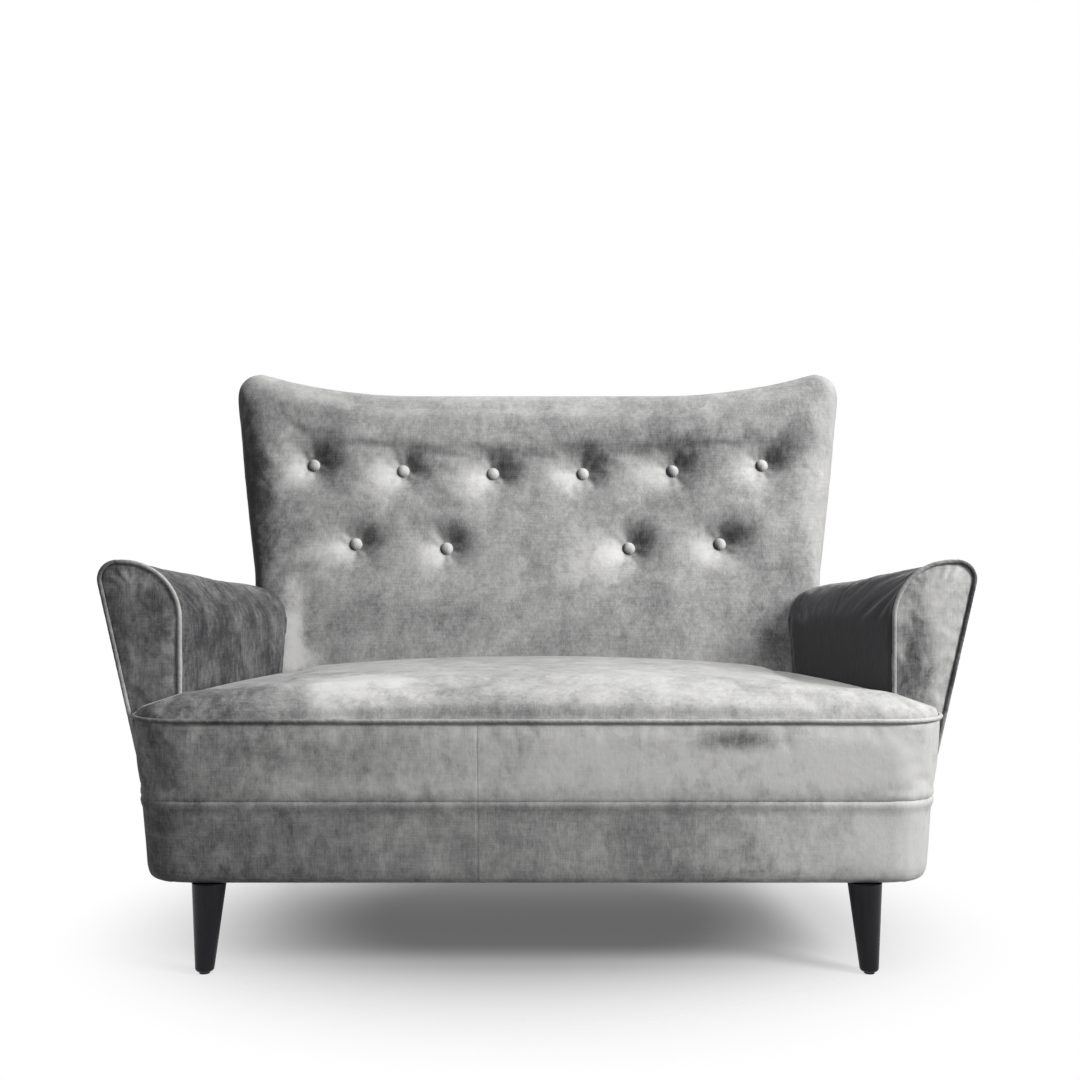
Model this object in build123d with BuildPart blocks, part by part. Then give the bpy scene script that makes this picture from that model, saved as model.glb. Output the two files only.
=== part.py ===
from build123d import *
import os
from math import cos, hypot, radians, sin

os.makedirs("parts", exist_ok=True)

# Two-seater sofa: velvet over foam on a wooden frame, with a buttoned back and flared, piped arms.
# Millimetres, +Z up. The sitter faces -Y. Left and right are as seen from the front, with +X to the right.
# The origin is on the floor under the middle of the sofa's overall box.

# Seat box, which stands on the legs and carries everything else
underside_height = 140  # floor to the underside
seat_box_height = 126  # height of the lower velvet band
base_draw_in = 9  # the band leans in by this much towards the floor
base_bottom_round = 24
base_rear_width = 1098
base_rear_round = 40
lip_width = 22  # velvet turned in under the frame
top_turn = 12  # velvet turned in over the top of the frame

# Seat, whose nose runs across in front of both arms
nose_width = 1244
nose_round = 85
border_height = 123  # upper velvet band, from the lower seam to the seat piping
border_draw_in = 12  # the border leans in by this much from the piping to the lower seam
wing_depth = 94  # front of the nose to the rear of its wings
wing_flat = 5  # least straight side behind the nose's rounded corner
seat_depth = 530  # front of the nose to the face of the back, at the height where the seat meets it
nose_rise = 46  # swell of the seat above the piping: over the nose, half way back and behind the back
middle_rise = 53
rear_rise = 33
nose_fall = 18  # the sides of the seat lie this much lower than its middle
middle_fall = 38
rear_fall = 38
seat_roll = 38  # rounding of the nose's upper edge
seat_meets_back = 44  # height above the piping where the seat meets the back

# Back, raked and wedge shaped, with a dipped top line and raised corners
back_rake = 14.4
rear_rake = 8.5
back_foot_depth = 203
back_foot_width = 1090
back_waist_width = 1090
back_waist_rise = 330  # along the face, from the seat box
back_waist_round = 400
back_corner_width = 1226
back_middle_rise = 713  # along the face, from the seat box to the dipped middle of the top
back_corner_rise = 67  # the corner points stand this much higher than the middle
back_level_width = 480  # middle of the top line that runs level
back_corner_round = 46
back_roll = 34  # rounding of the padded front edge
rear_round = 14
rear_seam_run = 22  # the outside back is sewn on this far in front of the rear face

# Buttons and the tufts that they pull in
button_pitch = 176
upper_row_rise = 543  # along the face, from the seat box
lower_row_rise = 390
row_bow = 18  # the rows rise towards the ends by this much over the upper row's half width
button_diameter = 24
button_height = 8
button_edge = 2.5
tuft_diameter = 124
tuft_depth = 20
tuft_swell = 3.6  # the tuft's funnel bulges towards the sitter by this much
tuft_seat_margin = 1.5  # flat round each button
twine_diameter = 2.4
knot_diameter = 6
knot_height = 4
washer_diameter = 20
washer_thickness = 2

# Arms, lofted from the front panel to the back
arm_front_height = 624
arm_front_foot_width = 50
arm_front_lean = 81  # outer top edge stands this far outside the foot
arm_front_top_width = 130
arm_front_inner_round = 88
arm_rear_height = 565
arm_rear_foot_width = 100
arm_rear_lean = 11
arm_rear_top_width = 104
arm_rear_inner_round = 66
arm_outer_round = 26
arm_outer_room = 1.4  # the inner rounding leaves this many outer roundings of the arm's top free
arm_seam_drop = 50  # the outside arm cover is sewn on this far below the arm's top
panel_setback = 100  # front of the nose to the arm's front panel

# Velvet, piping, padding and cloth
velvet = 1.5
piping_diameter = 7
piping_stand = 1  # the piping stands out by this much from the edge that it is sewn to
base_wadding = 5
arm_padding = 12
arm_facing = 12  # foam in front of the arm's front board
back_foam_depth = 62
back_side_padding = 12
rear_wadding = 8
strap_width = 60
strap_thickness = 1.5
long_straps = 7
long_strap_pitch = 130
cross_straps = 3
platform_thickness = 1
back_cloth_thickness = 1.2
dust_cover_thickness = 1

# Wooden frame
rail_thickness = 25
front_block_width = 160  # along the front, from the side of the frame
front_block_depth = 85
rear_block_width = 130
rear_block_depth = 125
block_chamfer = 30
stretcher_width = 30
stretcher_height = 40
seat_back_rail_depth = 28
post_width = 50
crest_height = 70  # crest rail, below the dipped middle of the top
slat_thickness = 18
slat_height = 60
lumbar_rise = 40  # along the face, from the seat box to the lumbar rail
board_thickness = 18
arm_rail_width = 44
arm_rail_height = 25
arm_rail_outset = 6  # the top rail lies this far outside the arm's middle
tack_rail_width = 20
tack_rail_height = 45
tack_rail_rise = 34
rear_board_clear = 14  # rear board to the back, along the floor
dowel_diameter = 10
dowel_length = 50
board_dowel_diameter = 8

# Legs
leg_top_diameter = 52
leg_foot_diameter = 28
leg_foot_round = 6
leg_splay = 7  # the foot stands this far outside the top
leg_overrun = 4  # the turned cone runs on by this much before its slanted ends are cut level
front_leg_spread = 998
front_leg_setback = 45
rear_leg_spread = 950
rear_leg_setback = 55
glide_diameter = 16
glide_height = 3
bolt_diameter = 8
bolt_in_leg = 32
bolt_in_block = 30
insert_diameter = 12

# Clearances
sewn_gap = 0.3  # between a cover and what it covers
seat_gap = 1  # between the seat and the arms and back
wing_gap = 2  # behind the nose's wings, in front of the arm piping
fit = 0.1  # round dowels, bolts and twines

# Levels and places worked out from the sizes above
deck = underside_height + seat_box_height
piping_level = deck + border_height
frame_bottom = underside_height + velvet
rail_top = deck - platform_thickness - 2 * strap_thickness
rake_sin = sin(radians(back_rake))
rake_cos = cos(radians(back_rake))
rear_sin = sin(radians(rear_rake))
rear_cos = cos(radians(rear_rake))
cover_inset = velvet + sewn_gap
wadding_inset = cover_inset + base_wadding
frame_inset = wadding_inset + sewn_gap
piping_radius = piping_diameter / 2
nose_half = nose_width / 2
nose_corner = min(nose_round, wing_depth - wing_gap - wing_flat)


def back_outline(inset):
    """Front view of the back, in the plane of its face, drawn in by an inset."""
    low = -back_foot_depth / 2
    corner = (back_corner_width / 2, back_middle_rise + back_corner_rise)
    level_end = (back_level_width / 2, back_middle_rise)
    waist = (back_waist_width / 2, back_waist_rise)
    with BuildSketch() as outline:
        with BuildLine():
            Line((0, low), (back_foot_width / 2, low))
            Polyline((back_foot_width / 2, low), waist, corner)
            TangentArc(level_end, corner, tangent=(1, 0))
            Line(level_end, (0, back_middle_rise))
            mirror(about=Plane.YZ)
        make_face()
        fillet(outline.vertices().group_by(Axis.Y)[-1], back_corner_round)
        at_waist = outline.vertices().filter_by_position(Axis.Y, waist[1] - 1, waist[1] + 1)
        fillet(at_waist, back_waist_round)
        if inset != 0:
            offset(amount=-inset, kind=Kind.INTERSECTION)
    return outline.sketch


# The overall depth runs from the seat piping to the rounded upper rear edge of the back.
outline_top = back_outline(0).bounding_box().max.Y
foot_run = seat_depth - (border_height + seat_meets_back) * rake_sin / rake_cos
edge_rise = outline_top - rear_round
edge_run = back_foot_depth * rear_cos - rear_round
rear_edge_run = (edge_rise * rear_sin + edge_run * rake_cos) / cos(radians(back_rake - rear_rake))
piping_reach = piping_stand + piping_radius
overall_depth = piping_reach + foot_run + rear_edge_run + rear_round

nose_front = piping_reach - overall_depth / 2
base_front = nose_front + border_draw_in
face_foot = nose_front + foot_run  # foot of the back's face, at the deck
base_rear = face_foot + back_foot_depth
panel_front = nose_front + panel_setback
wing_rear = nose_front + wing_depth - wing_gap
base_half_rear = base_rear_width / 2
base_half_wing = nose_half - border_draw_in  # beside the rear of the nose's wings
arm_rear = face_foot + (arm_rear_height - deck) * rake_sin / rake_cos + back_roll

back_plane = Plane((0, face_foot, deck), x_dir=(-1, 0, 0), z_dir=(0, rake_cos, -rake_sin))
rear_plane = Plane((0, base_rear, deck), x_dir=(-1, 0, 0), z_dir=(0, rear_cos, -rear_sin))
deck_plane = Plane.XY.offset(deck)


def write(part, name):
    """Label a finished piece and write it."""
    part.label = name
    export_step(part, f"parts/{name}.step")


def write_pair(part, name):
    """Write a right-hand piece and its mirror image on the left."""
    write(part, f"right_{name}")
    with BuildPart() as twin:
        mirror(part, about=Plane.YZ)
    write(twin.part, f"left_{name}")


def base_half(y):
    """Half the width of the seat box at the deck, at a place along its depth."""
    share = (y - wing_rear) / (base_rear - wing_rear)
    return base_half_wing + (base_half_rear - base_half_wing) * share


def base_outline(inset):
    """Plan of the seat box at the deck, drawn in by an inset."""
    with BuildSketch() as outline:
        with BuildLine():
            Polyline(
                (-base_half(base_front), base_front),
                (base_half(base_front), base_front),
                (base_half_rear, base_rear),
                (-base_half_rear, base_rear),
                close=True,
            )
        make_face()
        fillet(outline.vertices().group_by(Axis.Y)[0], nose_corner - border_draw_in)
        fillet(outline.vertices().group_by(Axis.Y)[-1], base_rear_round)
        if inset != 0:
            offset(amount=-inset, kind=Kind.INTERSECTION)
    return outline.sketch


def base_body(inset, bottom):
    """The seat box's form, leaning in towards the floor with a rounded lower edge."""
    with BuildPart() as body:
        with BuildSketch(Plane.XY.offset(bottom)):
            add(base_outline(inset + base_draw_in))
        with BuildSketch(deck_plane):
            add(base_outline(inset))
        loft()
        fillet(body.faces().sort_by(Axis.Z)[0].edges(), base_bottom_round - inset)
    return body.part


def arm_values(y):
    """Section of the right arm at a place along its depth: feet, tops, height and inner rounding."""
    share = (y - panel_front) / (arm_rear - panel_front)

    def between(front, rear):
        return front + (rear - front) * share

    outer_foot = base_half(y)
    inner_foot = outer_foot - between(arm_front_foot_width, arm_rear_foot_width)
    outer_top = outer_foot + between(arm_front_lean, arm_rear_lean)
    inner_top = outer_top - between(arm_front_top_width, arm_rear_top_width)
    height = between(arm_front_height, arm_rear_height)
    inner_room = outer_top - inner_top - arm_outer_room * arm_outer_round
    inner_round = min(between(arm_front_inner_round, arm_rear_inner_round), inner_room)
    return inner_foot, outer_foot, inner_top, outer_top, height, inner_round


def arm_section(y, inset):
    """Upright section of the right arm, running on below the deck, drawn in by an inset."""
    inner_foot, outer_foot, inner_top, outer_top, height, inner_round = arm_values(y)
    below = (arm_padding + cover_inset) * 2
    reach = below / (height - deck)
    with BuildSketch() as section:
        with BuildLine():
            Polyline(
                (inner_foot - (inner_top - inner_foot) * reach, deck - below),
                (inner_top, height),
                (outer_top, height),
                (outer_foot - (outer_top - outer_foot) * reach, deck - below),
                close=True,
            )
        make_face()
        fillet(section.vertices().group_by(Axis.Y)[-1].sort_by(Axis.X)[-1], arm_outer_round)
        fillet(section.vertices().group_by(Axis.Y)[-1].sort_by(Axis.X)[0], inner_round)
        if inset != 0:
            offset(amount=-inset, kind=Kind.INTERSECTION)
    return section.sketch


def arm_body(inset, front):
    """The right arm's form from a given front place to inside the back, above the deck."""
    with BuildPart() as body:
        for y in (front, arm_rear):
            with BuildSketch(Plane.XZ.offset(-y)):
                add(arm_section(y, inset))
        loft()
        split(bisect_by=deck_plane, keep=Keep.TOP)
    return body.part


def seat_plan(inset):
    """Plan of the seat at the piping: a T whose stem narrows between the arms."""
    stem_front = arm_values(panel_front)[0] - piping_reach - seat_gap
    stem_end = arm_rear + seat_gap
    stem_rear = arm_values(stem_end)[0] - seat_gap
    with BuildSketch() as plan:
        with BuildLine():
            Polyline(
                (0, nose_front),
                (nose_half, nose_front),
                (nose_half, wing_rear),
                (stem_front, wing_rear),
                (stem_rear, stem_end),
                (0, stem_end),
            )
            mirror(about=Plane.YZ)
        make_face()
        front_corners = plan.vertices().group_by(Axis.Y)[0].sort_by(Axis.X)
        fillet([front_corners[0], front_corners[-1]], nose_corner)
        if inset != 0:
            offset(amount=-inset, kind=Kind.INTERSECTION)
    return plan.sketch


def seat_crown(lowered):
    """A block under the seat's swollen top, lowered by a given amount, larger all round than the seat."""
    margin = nose_corner / 2
    half = nose_half + margin
    length = foot_run + back_foot_depth
    stations = (
        (-margin, nose_rise, nose_fall),
        (length / 2, middle_rise, middle_fall),
        (length, rear_rise, rear_fall),
    )
    with BuildPart() as crown:
        for run, rise, fall in stations:
            top = piping_level + rise - lowered
            side = top - fall * (half / nose_half) ** 2
            with BuildSketch(Plane.XZ.offset(-(nose_front + run))):
                with BuildLine():
                    Polyline((half, side), (half, underside_height), (-half, underside_height), (-half, side))
                    ThreePointArc((-half, side), (0, top), (half, side))
                make_face()
        loft()
    return crown.part


def nose_outline(inset):
    """The nose's rounded front, run on past the back."""
    with BuildSketch() as outline:
        with Locations((0, nose_front)):
            Rectangle(nose_width, overall_depth, align=(Align.CENTER, Align.MIN))
        fillet(outline.vertices().group_by(Axis.Y)[0], nose_corner)
        if inset != 0:
            offset(amount=-inset, kind=Kind.INTERSECTION)
    return outline.sketch


def seat_top(inset):
    """The crowned upper part of the seat, above the piping, with the nose's upper edge rounded."""
    height = border_height + 2 * middle_rise
    with BuildPart() as top:
        with BuildSketch(deck_plane):
            add(nose_outline(inset))
        extrude(amount=height)
        add(seat_crown(inset), mode=Mode.INTERSECT)
        upper_edges = top.faces().sort_by(Axis.Z)[-1].edges().sort_by(Axis.Y)
        fillet(upper_edges[:-1], seat_roll - inset)
        with BuildSketch(deck_plane):
            add(seat_plan(inset))
        extrude(amount=height, mode=Mode.INTERSECT)
        split(bisect_by=Plane.XY.offset(piping_level), keep=Keep.TOP)
    return top.part


def nose_taper(inset):
    """A block that draws the nose in towards the lower seam."""
    with BuildPart() as block:
        with BuildSketch(deck_plane):
            add(nose_outline(inset + border_draw_in))
        with BuildSketch(Plane.XY.offset(piping_level)):
            add(nose_outline(inset))
        loft()
    return block.part


def seat_body(inset):
    """The seat's form: drawn in towards the lower seam, crowned on top, cut off at the back."""
    with BuildPart() as body:
        with BuildSketch(deck_plane):
            add(seat_plan(inset))
        extrude(amount=border_height)
        add(nose_taper(inset), mode=Mode.INTERSECT)
        add(seat_top(inset))
        split(bisect_by=back_plane.offset(-seat_gap), keep=Keep.BOTTOM)
    return body.part


def back_body(inset):
    """The back's form above the deck: a raked wedge with a rolled front edge."""
    with BuildPart() as body:
        with BuildSketch(back_plane.offset(inset)):
            add(back_outline(inset))
        extrude(amount=2 * back_foot_depth)
        split(bisect_by=rear_plane.offset(-inset), keep=Keep.BOTTOM)
        front_face = body.faces().sort_by(Axis((0, 0, 0), back_plane.z_dir))[0]
        fillet(front_face.edges().sort_by(Axis.Z)[1:], back_roll - inset)
        rear_face = body.faces().sort_by(Axis((0, 0, 0), rear_plane.z_dir))[-1]
        fillet(rear_face.edges().sort_by(Axis.Z)[1:], rear_round - inset)
        split(bisect_by=deck_plane, keep=Keep.TOP)
    return body.part


# Buttons: six in the upper row and four in the lower, half a pitch apart, with none in the lower middle
upper_steps = (-2.5, -1.5, -0.5, 0.5, 1.5, 2.5)
lower_steps = (-2, -1, 1, 2)


def button_places(steps, row_rise, depth):
    """Where one row's buttons lie on the back's face, at a depth behind it."""
    spots = []
    for step in steps:
        rise = row_rise + row_bow * (step / upper_steps[-1]) ** 2
        spots.append(back_plane.location * Location((step * button_pitch, rise, depth)))
    return spots


def all_button_places(depth):
    """Where all the buttons lie on the back's face, at a depth behind it."""
    upper = button_places(upper_steps, upper_row_rise, depth)
    return upper + button_places(lower_steps, lower_row_rise, depth)


# Cutter for one tuft: a funnel down to the button's seat, and the twine's hole behind it
tuft_radius = tuft_diameter / 2
tuft_seat = button_diameter / 2 + tuft_seat_margin
tuft_run = tuft_radius - tuft_seat
tuft_slant = hypot(tuft_run, tuft_depth)
tuft_middle = (
    (tuft_radius + tuft_seat) / 2 - tuft_swell * tuft_depth / tuft_slant,
    tuft_depth / 2 - tuft_swell * tuft_run / tuft_slant,
)
with BuildPart() as twine_hole:
    Cylinder(twine_diameter / 2 + fit, 2 * back_foot_depth)

with BuildPart() as tuft:
    with BuildSketch(Plane.XZ):
        with BuildLine():
            Polyline(
                (tuft_seat, tuft_depth),
                (0, tuft_depth),
                (0, -tuft_depth),
                (tuft_radius, -tuft_depth),
                (tuft_radius, 0),
            )
            ThreePointArc((tuft_radius, 0), tuft_middle, (tuft_seat, tuft_depth))
        make_face()
    revolve(axis=Axis.Z)
    add(twine_hole.part)


def tufted_back(inset):
    """The back's form with its tufts pulled in."""
    with BuildPart() as body:
        add(back_body(inset))
        with Locations(*all_button_places(inset)):
            add(tuft.part, mode=Mode.SUBTRACT)
    return body.part


# Velvet of the back: one cover over the face, top and sides, and one panel behind
with BuildPart() as back_shell:
    add(tufted_back(0))
    add(tufted_back(velvet), mode=Mode.SUBTRACT)

rear_seam = rear_plane.offset(-rear_seam_run)
with BuildPart() as inside_back_cover:
    add(back_shell.part)
    split(bisect_by=rear_seam, keep=Keep.BOTTOM)
write(inside_back_cover.part, "inside_back_cover")

with BuildPart() as outside_back_cover:
    add(back_shell.part)
    split(bisect_by=rear_seam, keep=Keep.TOP)
write(outside_back_cover.part, "outside_back_cover")

# Foam of the back, wrapped round the frame at the top and sides
pocket_inset = cover_inset + back_side_padding
with BuildPart() as back_foam:
    add(tufted_back(cover_inset))
    with BuildSketch(back_plane.offset(back_foam_depth)):
        add(back_outline(pocket_inset))
    extrude(amount=2 * back_foot_depth, mode=Mode.SUBTRACT)
write(back_foam.part, "back_foam")

back_frame_inset = pocket_inset + sewn_gap
back_frame_front = back_foam_depth + back_cloth_thickness
frame_rear_plane = rear_plane.offset(-cover_inset - rear_wadding)

with BuildPart() as back_cloth:
    with BuildSketch(back_plane.offset(back_foam_depth)):
        add(back_outline(back_frame_inset))
    extrude(amount=back_cloth_thickness)
    with Locations(*all_button_places(back_foam_depth)):
        add(twine_hole.part, mode=Mode.SUBTRACT)
    split(bisect_by=deck_plane, keep=Keep.TOP)
write(back_cloth.part, "back_cloth")

with BuildPart() as outside_back_wadding:
    with BuildSketch(back_plane.offset(back_frame_front)):
        add(back_outline(back_frame_inset))
    extrude(amount=2 * back_foot_depth)
    split(bisect_by=rear_plane.offset(-cover_inset), keep=Keep.BOTTOM)
    split(bisect_by=frame_rear_plane, keep=Keep.TOP)
    split(bisect_by=deck_plane, keep=Keep.TOP)
write(outside_back_wadding.part, "outside_back_wadding")

# Plan of the seat box's frame: rails between four corner blocks
rail_middle = frame_inset + base_draw_in + (rail_thickness - base_draw_in) / 2
front_block_edge = base_half(base_front) - frame_inset - front_block_width
front_block_end = base_front + frame_inset + front_block_depth
rear_block_edge = base_half_rear - frame_inset - rear_block_width
rear_block_end = base_rear - frame_inset - rear_block_depth
front_board_front = panel_front + velvet + sewn_gap + arm_facing
front_board_rear = front_board_front + board_thickness
rear_board_rear = face_foot - rear_board_clear
rear_board_front = rear_board_rear - board_thickness
post_middle = back_foot_width / 2 - back_frame_inset - post_width / 2


def dowel_joints():
    """Each dowel on the right: its middle, the way that it points and its diameter."""
    rail_height = rail_top - frame_bottom
    joints = []
    for level in (frame_bottom + rail_height / 3, frame_bottom + rail_height * 2 / 3):
        for y in (front_block_end, rear_block_end):
            joints.append(((base_half(y) - rail_middle, y, level), (0, 1, 0), dowel_diameter))
        joints.append(((front_block_edge, base_front + rail_middle, level), (1, 0, 0), dowel_diameter))
        joints.append(((rear_block_edge, base_rear - rail_middle, level), (1, 0, 0), dowel_diameter))
    for share in (1 / 3, 2 / 3):
        y = rear_block_end + rear_block_depth * share
        joints.append(((post_middle, y, rail_top), (0, 0, 1), dowel_diameter))
    for y in (front_board_rear - board_thickness / 2, rear_board_rear - board_thickness / 2):
        joints.append(((base_half(y) - rail_middle, y, rail_top), (0, 0, 1), board_dowel_diameter))
    return joints


def dowels(clearance):
    """All the frame's dowels, or with a clearance the holes that they sit in."""
    with BuildPart() as group:
        for place, direction, diameter in dowel_joints():
            with Locations(Plane(place, z_dir=direction).location):
                Cylinder(diameter / 2 + clearance, dowel_length)
        mirror(about=Plane.YZ)
    return group.part


write(dowels(0), "frame_dowels")
dowel_holes = dowels(fit)

# Back frame: two posts that stand on the rear blocks, a dipped crest rail and three slats
crest_bottom = back_middle_rise - back_frame_inset - crest_height
with BuildPart() as back_post:
    with BuildSketch(back_plane.offset(back_frame_front)):
        add(back_outline(back_frame_inset))
        add(back_outline(back_frame_inset + post_width), mode=Mode.SUBTRACT)
        with Locations((0, crest_bottom)):
            Rectangle(back_corner_width, crest_bottom, align=(Align.CENTER, Align.MIN), mode=Mode.SUBTRACT)
    extrude(amount=2 * back_foot_depth)
    split(bisect_by=frame_rear_plane, keep=Keep.BOTTOM)
    split(bisect_by=Plane.XY.offset(rail_top), keep=Keep.TOP)
    split(bisect_by=Plane.YZ, keep=Keep.TOP)
    with BuildSketch(Plane.XY.offset(rail_top)):
        Rectangle(nose_width, overall_depth)
        add(base_outline(top_turn + sewn_gap), mode=Mode.SUBTRACT)
    extrude(amount=deck - rail_top, mode=Mode.SUBTRACT)
    add(dowel_holes, mode=Mode.SUBTRACT)
write_pair(back_post.part, "back_post")

with BuildPart() as crest_rail:
    with BuildSketch(back_plane.offset(back_frame_front)):
        add(back_outline(back_frame_inset))
        with Locations((0, crest_bottom)):
            Rectangle(back_corner_width, crest_bottom, align=(Align.CENTER, Align.MIN), mode=Mode.INTERSECT)
    extrude(amount=2 * back_foot_depth)
    split(bisect_by=frame_rear_plane, keep=Keep.BOTTOM)
write(crest_rail.part, "crest_rail")


def back_slat(middle):
    """A slat between the posts, with holes where the twines pass."""
    with BuildPart() as slat:
        with BuildSketch(back_plane.offset(back_frame_front)):
            add(back_outline(back_frame_inset + post_width))
            with Locations((0, middle)):
                Rectangle(back_corner_width, slat_height, mode=Mode.INTERSECT)
        extrude(amount=slat_thickness)
        with Locations(*all_button_places(back_frame_front)):
            add(twine_hole.part, mode=Mode.SUBTRACT)
    return slat.part


write(back_slat(upper_row_rise + row_bow / 2), "upper_button_rail")
write(back_slat(lower_row_rise + row_bow / 2), "lower_button_rail")
write(back_slat(lumbar_rise + slat_height / 2), "lumbar_rail")

# Covered buttons, each held by a twine that is knotted behind a washer on its slat
with BuildPart() as button:
    Cylinder(button_diameter / 2, button_height, align=(Align.CENTER, Align.CENTER, Align.MAX))
    fillet(button.faces().sort_by(Axis.Z)[0].edges(), button_height - button_edge)

with BuildPart() as upper_row_buttons:
    with Locations(*button_places(upper_steps, upper_row_rise, tuft_depth)):
        add(button.part)
write(upper_row_buttons.part, "upper_row_buttons")

with BuildPart() as lower_row_buttons:
    with Locations(*button_places(lower_steps, lower_row_rise, tuft_depth)):
        add(button.part)
write(lower_row_buttons.part, "lower_row_buttons")

washer_front = back_frame_front + slat_thickness
from_front = (Align.CENTER, Align.CENTER, Align.MIN)
with BuildPart() as twine_washers:
    with Locations(*all_button_places(washer_front)):
        Cylinder(washer_diameter / 2, washer_thickness, align=from_front)
        Cylinder(twine_diameter / 2 + fit, washer_thickness, align=from_front, mode=Mode.SUBTRACT)
write(twine_washers.part, "twine_washers")

knot_front = washer_front + washer_thickness
with BuildPart() as button_twines:
    with Locations(*all_button_places(tuft_depth)):
        Cylinder(twine_diameter / 2, knot_front - tuft_depth, align=from_front)
    with Locations(*all_button_places(knot_front)):
        Cylinder(knot_diameter / 2, knot_height, align=from_front)
write(button_twines.part, "button_twines")

# Piping round the arm's front panel, and the groove that it lies in
panel_plane = Plane.XZ.offset(-panel_front)
with BuildSketch(panel_plane) as panel_edge:
    add(arm_section(panel_front, -piping_stand))
panel_path = Wire(panel_edge.sketch.edges().sort_by(Axis.Z)[1:])


def cord(path, clearance):
    """A round cord along a path."""
    with BuildPart() as tube:
        with BuildSketch(Plane(path @ 0, z_dir=path % 0)):
            Circle(piping_radius + clearance)
        sweep(path=path)
    return tube.part


with BuildPart() as arm_piping:
    add(cord(panel_path, 0))
    split(bisect_by=deck_plane, keep=Keep.TOP)
write_pair(arm_piping.part, "arm_piping")
arm_groove = cord(panel_path, sewn_gap)

# Velvet of the arm: the front panel, the inside and top in one piece, and the outside
with BuildPart() as arm_front_panel:
    with BuildSketch(panel_plane):
        add(arm_section(panel_front, 0))
    extrude(amount=-velvet)
    split(bisect_by=deck_plane, keep=Keep.TOP)
    add(arm_groove, mode=Mode.SUBTRACT)
write_pair(arm_front_panel.part, "arm_front_panel")

behind_panel = panel_front + velvet
back_clearance = back_body(-sewn_gap)
with BuildPart() as arm_shell:
    add(arm_body(0, behind_panel))
    add(arm_body(velvet, behind_panel), mode=Mode.SUBTRACT)
    add(back_clearance, mode=Mode.SUBTRACT)
    add(arm_groove, mode=Mode.SUBTRACT)

front_values = arm_values(panel_front)
rear_values = arm_values(arm_rear)
front_foot = Vector((front_values[0] + front_values[1]) / 2, panel_front, deck)
front_top = Vector((front_values[2] + front_values[3]) / 2, panel_front, arm_front_height)
rear_foot = Vector((rear_values[0] + rear_values[1]) / 2, arm_rear, deck)
foot_line = rear_foot - front_foot
arm_middle = Plane(front_foot, x_dir=foot_line, z_dir=foot_line.cross(front_top - front_foot))
across = Vector(1, 0, 0)
seam_slope = Vector(0, arm_rear - panel_front, arm_rear_height - arm_front_height)
seam_start = (0, panel_front, arm_front_height - arm_seam_drop)
arm_seam = Plane(seam_start, x_dir=across, z_dir=across.cross(seam_slope))
with BuildPart() as outside_arm_cover:
    add(arm_shell.part)
    split(bisect_by=arm_middle, keep=Keep.TOP)
    split(bisect_by=arm_seam, keep=Keep.BOTTOM)
write_pair(outside_arm_cover.part, "outside_arm_cover")

with BuildPart() as arm_cap:
    add(arm_shell.part)
    split(bisect_by=arm_middle, keep=Keep.TOP)
    split(bisect_by=arm_seam, keep=Keep.TOP)

with BuildPart() as inside_arm_cover:
    add(arm_shell.part)
    split(bisect_by=arm_middle, keep=Keep.BOTTOM)
    add(arm_cap.part)
write_pair(inside_arm_cover.part, "inside_arm_cover")


# Arm frame: front and rear boards on the side rail, with a top rail and a tack rail between them
def arm_board(front, rear):
    """An upright board across the arm, inside its padding, down to the side rail."""
    with BuildPart() as board:
        with BuildSketch(Plane.XZ.offset(-front)):
            add(arm_section(rear, cover_inset + arm_padding))
        extrude(amount=front - rear)
        split(bisect_by=Plane.XY.offset(rail_top), keep=Keep.TOP)
        add(dowel_holes, mode=Mode.SUBTRACT)
    return board.part


def arm_rail(width, height, centre_at):
    """A rail from the front board to the rear board, through a given centre line."""
    with BuildPart() as rail:
        for y in (front_board_rear, rear_board_front):
            with BuildSketch(Plane.XZ.offset(-y)):
                with Locations(centre_at(y)):
                    Rectangle(width, height)
        loft()
    return rail.part


def top_rail_centre(y):
    """Middle of the top rail's section, under the arm's padding."""
    inner_foot, outer_foot, inner_top, outer_top, height, inner_round = arm_values(y)
    level = height - cover_inset - arm_padding - arm_rail_height / 2
    return (inner_top + outer_top) / 2 + arm_rail_outset, level


def tack_rail_centre(y):
    """Middle of the tack rail's section, half way through the arm."""
    inner_foot, outer_foot, inner_top, outer_top, height, inner_round = arm_values(y)
    rise = tack_rail_rise + tack_rail_height / 2
    foot = (inner_foot + outer_foot) / 2
    top = (inner_top + outer_top) / 2
    return foot + (top - foot) * rise / (height - deck), deck + rise


arm_front_board = arm_board(front_board_front, front_board_rear)
arm_rear_board = arm_board(rear_board_front, rear_board_rear)
arm_top_rail = arm_rail(arm_rail_width, arm_rail_height, top_rail_centre)
arm_tack_rail = arm_rail(tack_rail_width, tack_rail_height, tack_rail_centre)

with BuildPart() as arm_foam:
    add(arm_body(cover_inset, behind_panel + sewn_gap))
    add(back_clearance, mode=Mode.SUBTRACT)
    add(arm_groove, mode=Mode.SUBTRACT)
    for inner_piece in (arm_front_board, arm_rear_board, arm_top_rail, arm_tack_rail, dowel_holes):
        add(inner_piece, mode=Mode.SUBTRACT)
write_pair(arm_foam.part, "arm_foam")
write_pair(arm_front_board, "arm_front_board")
write_pair(arm_rear_board, "arm_rear_board")
write_pair(arm_top_rail, "arm_top_rail")
write_pair(arm_tack_rail, "arm_tack_rail")

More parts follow.
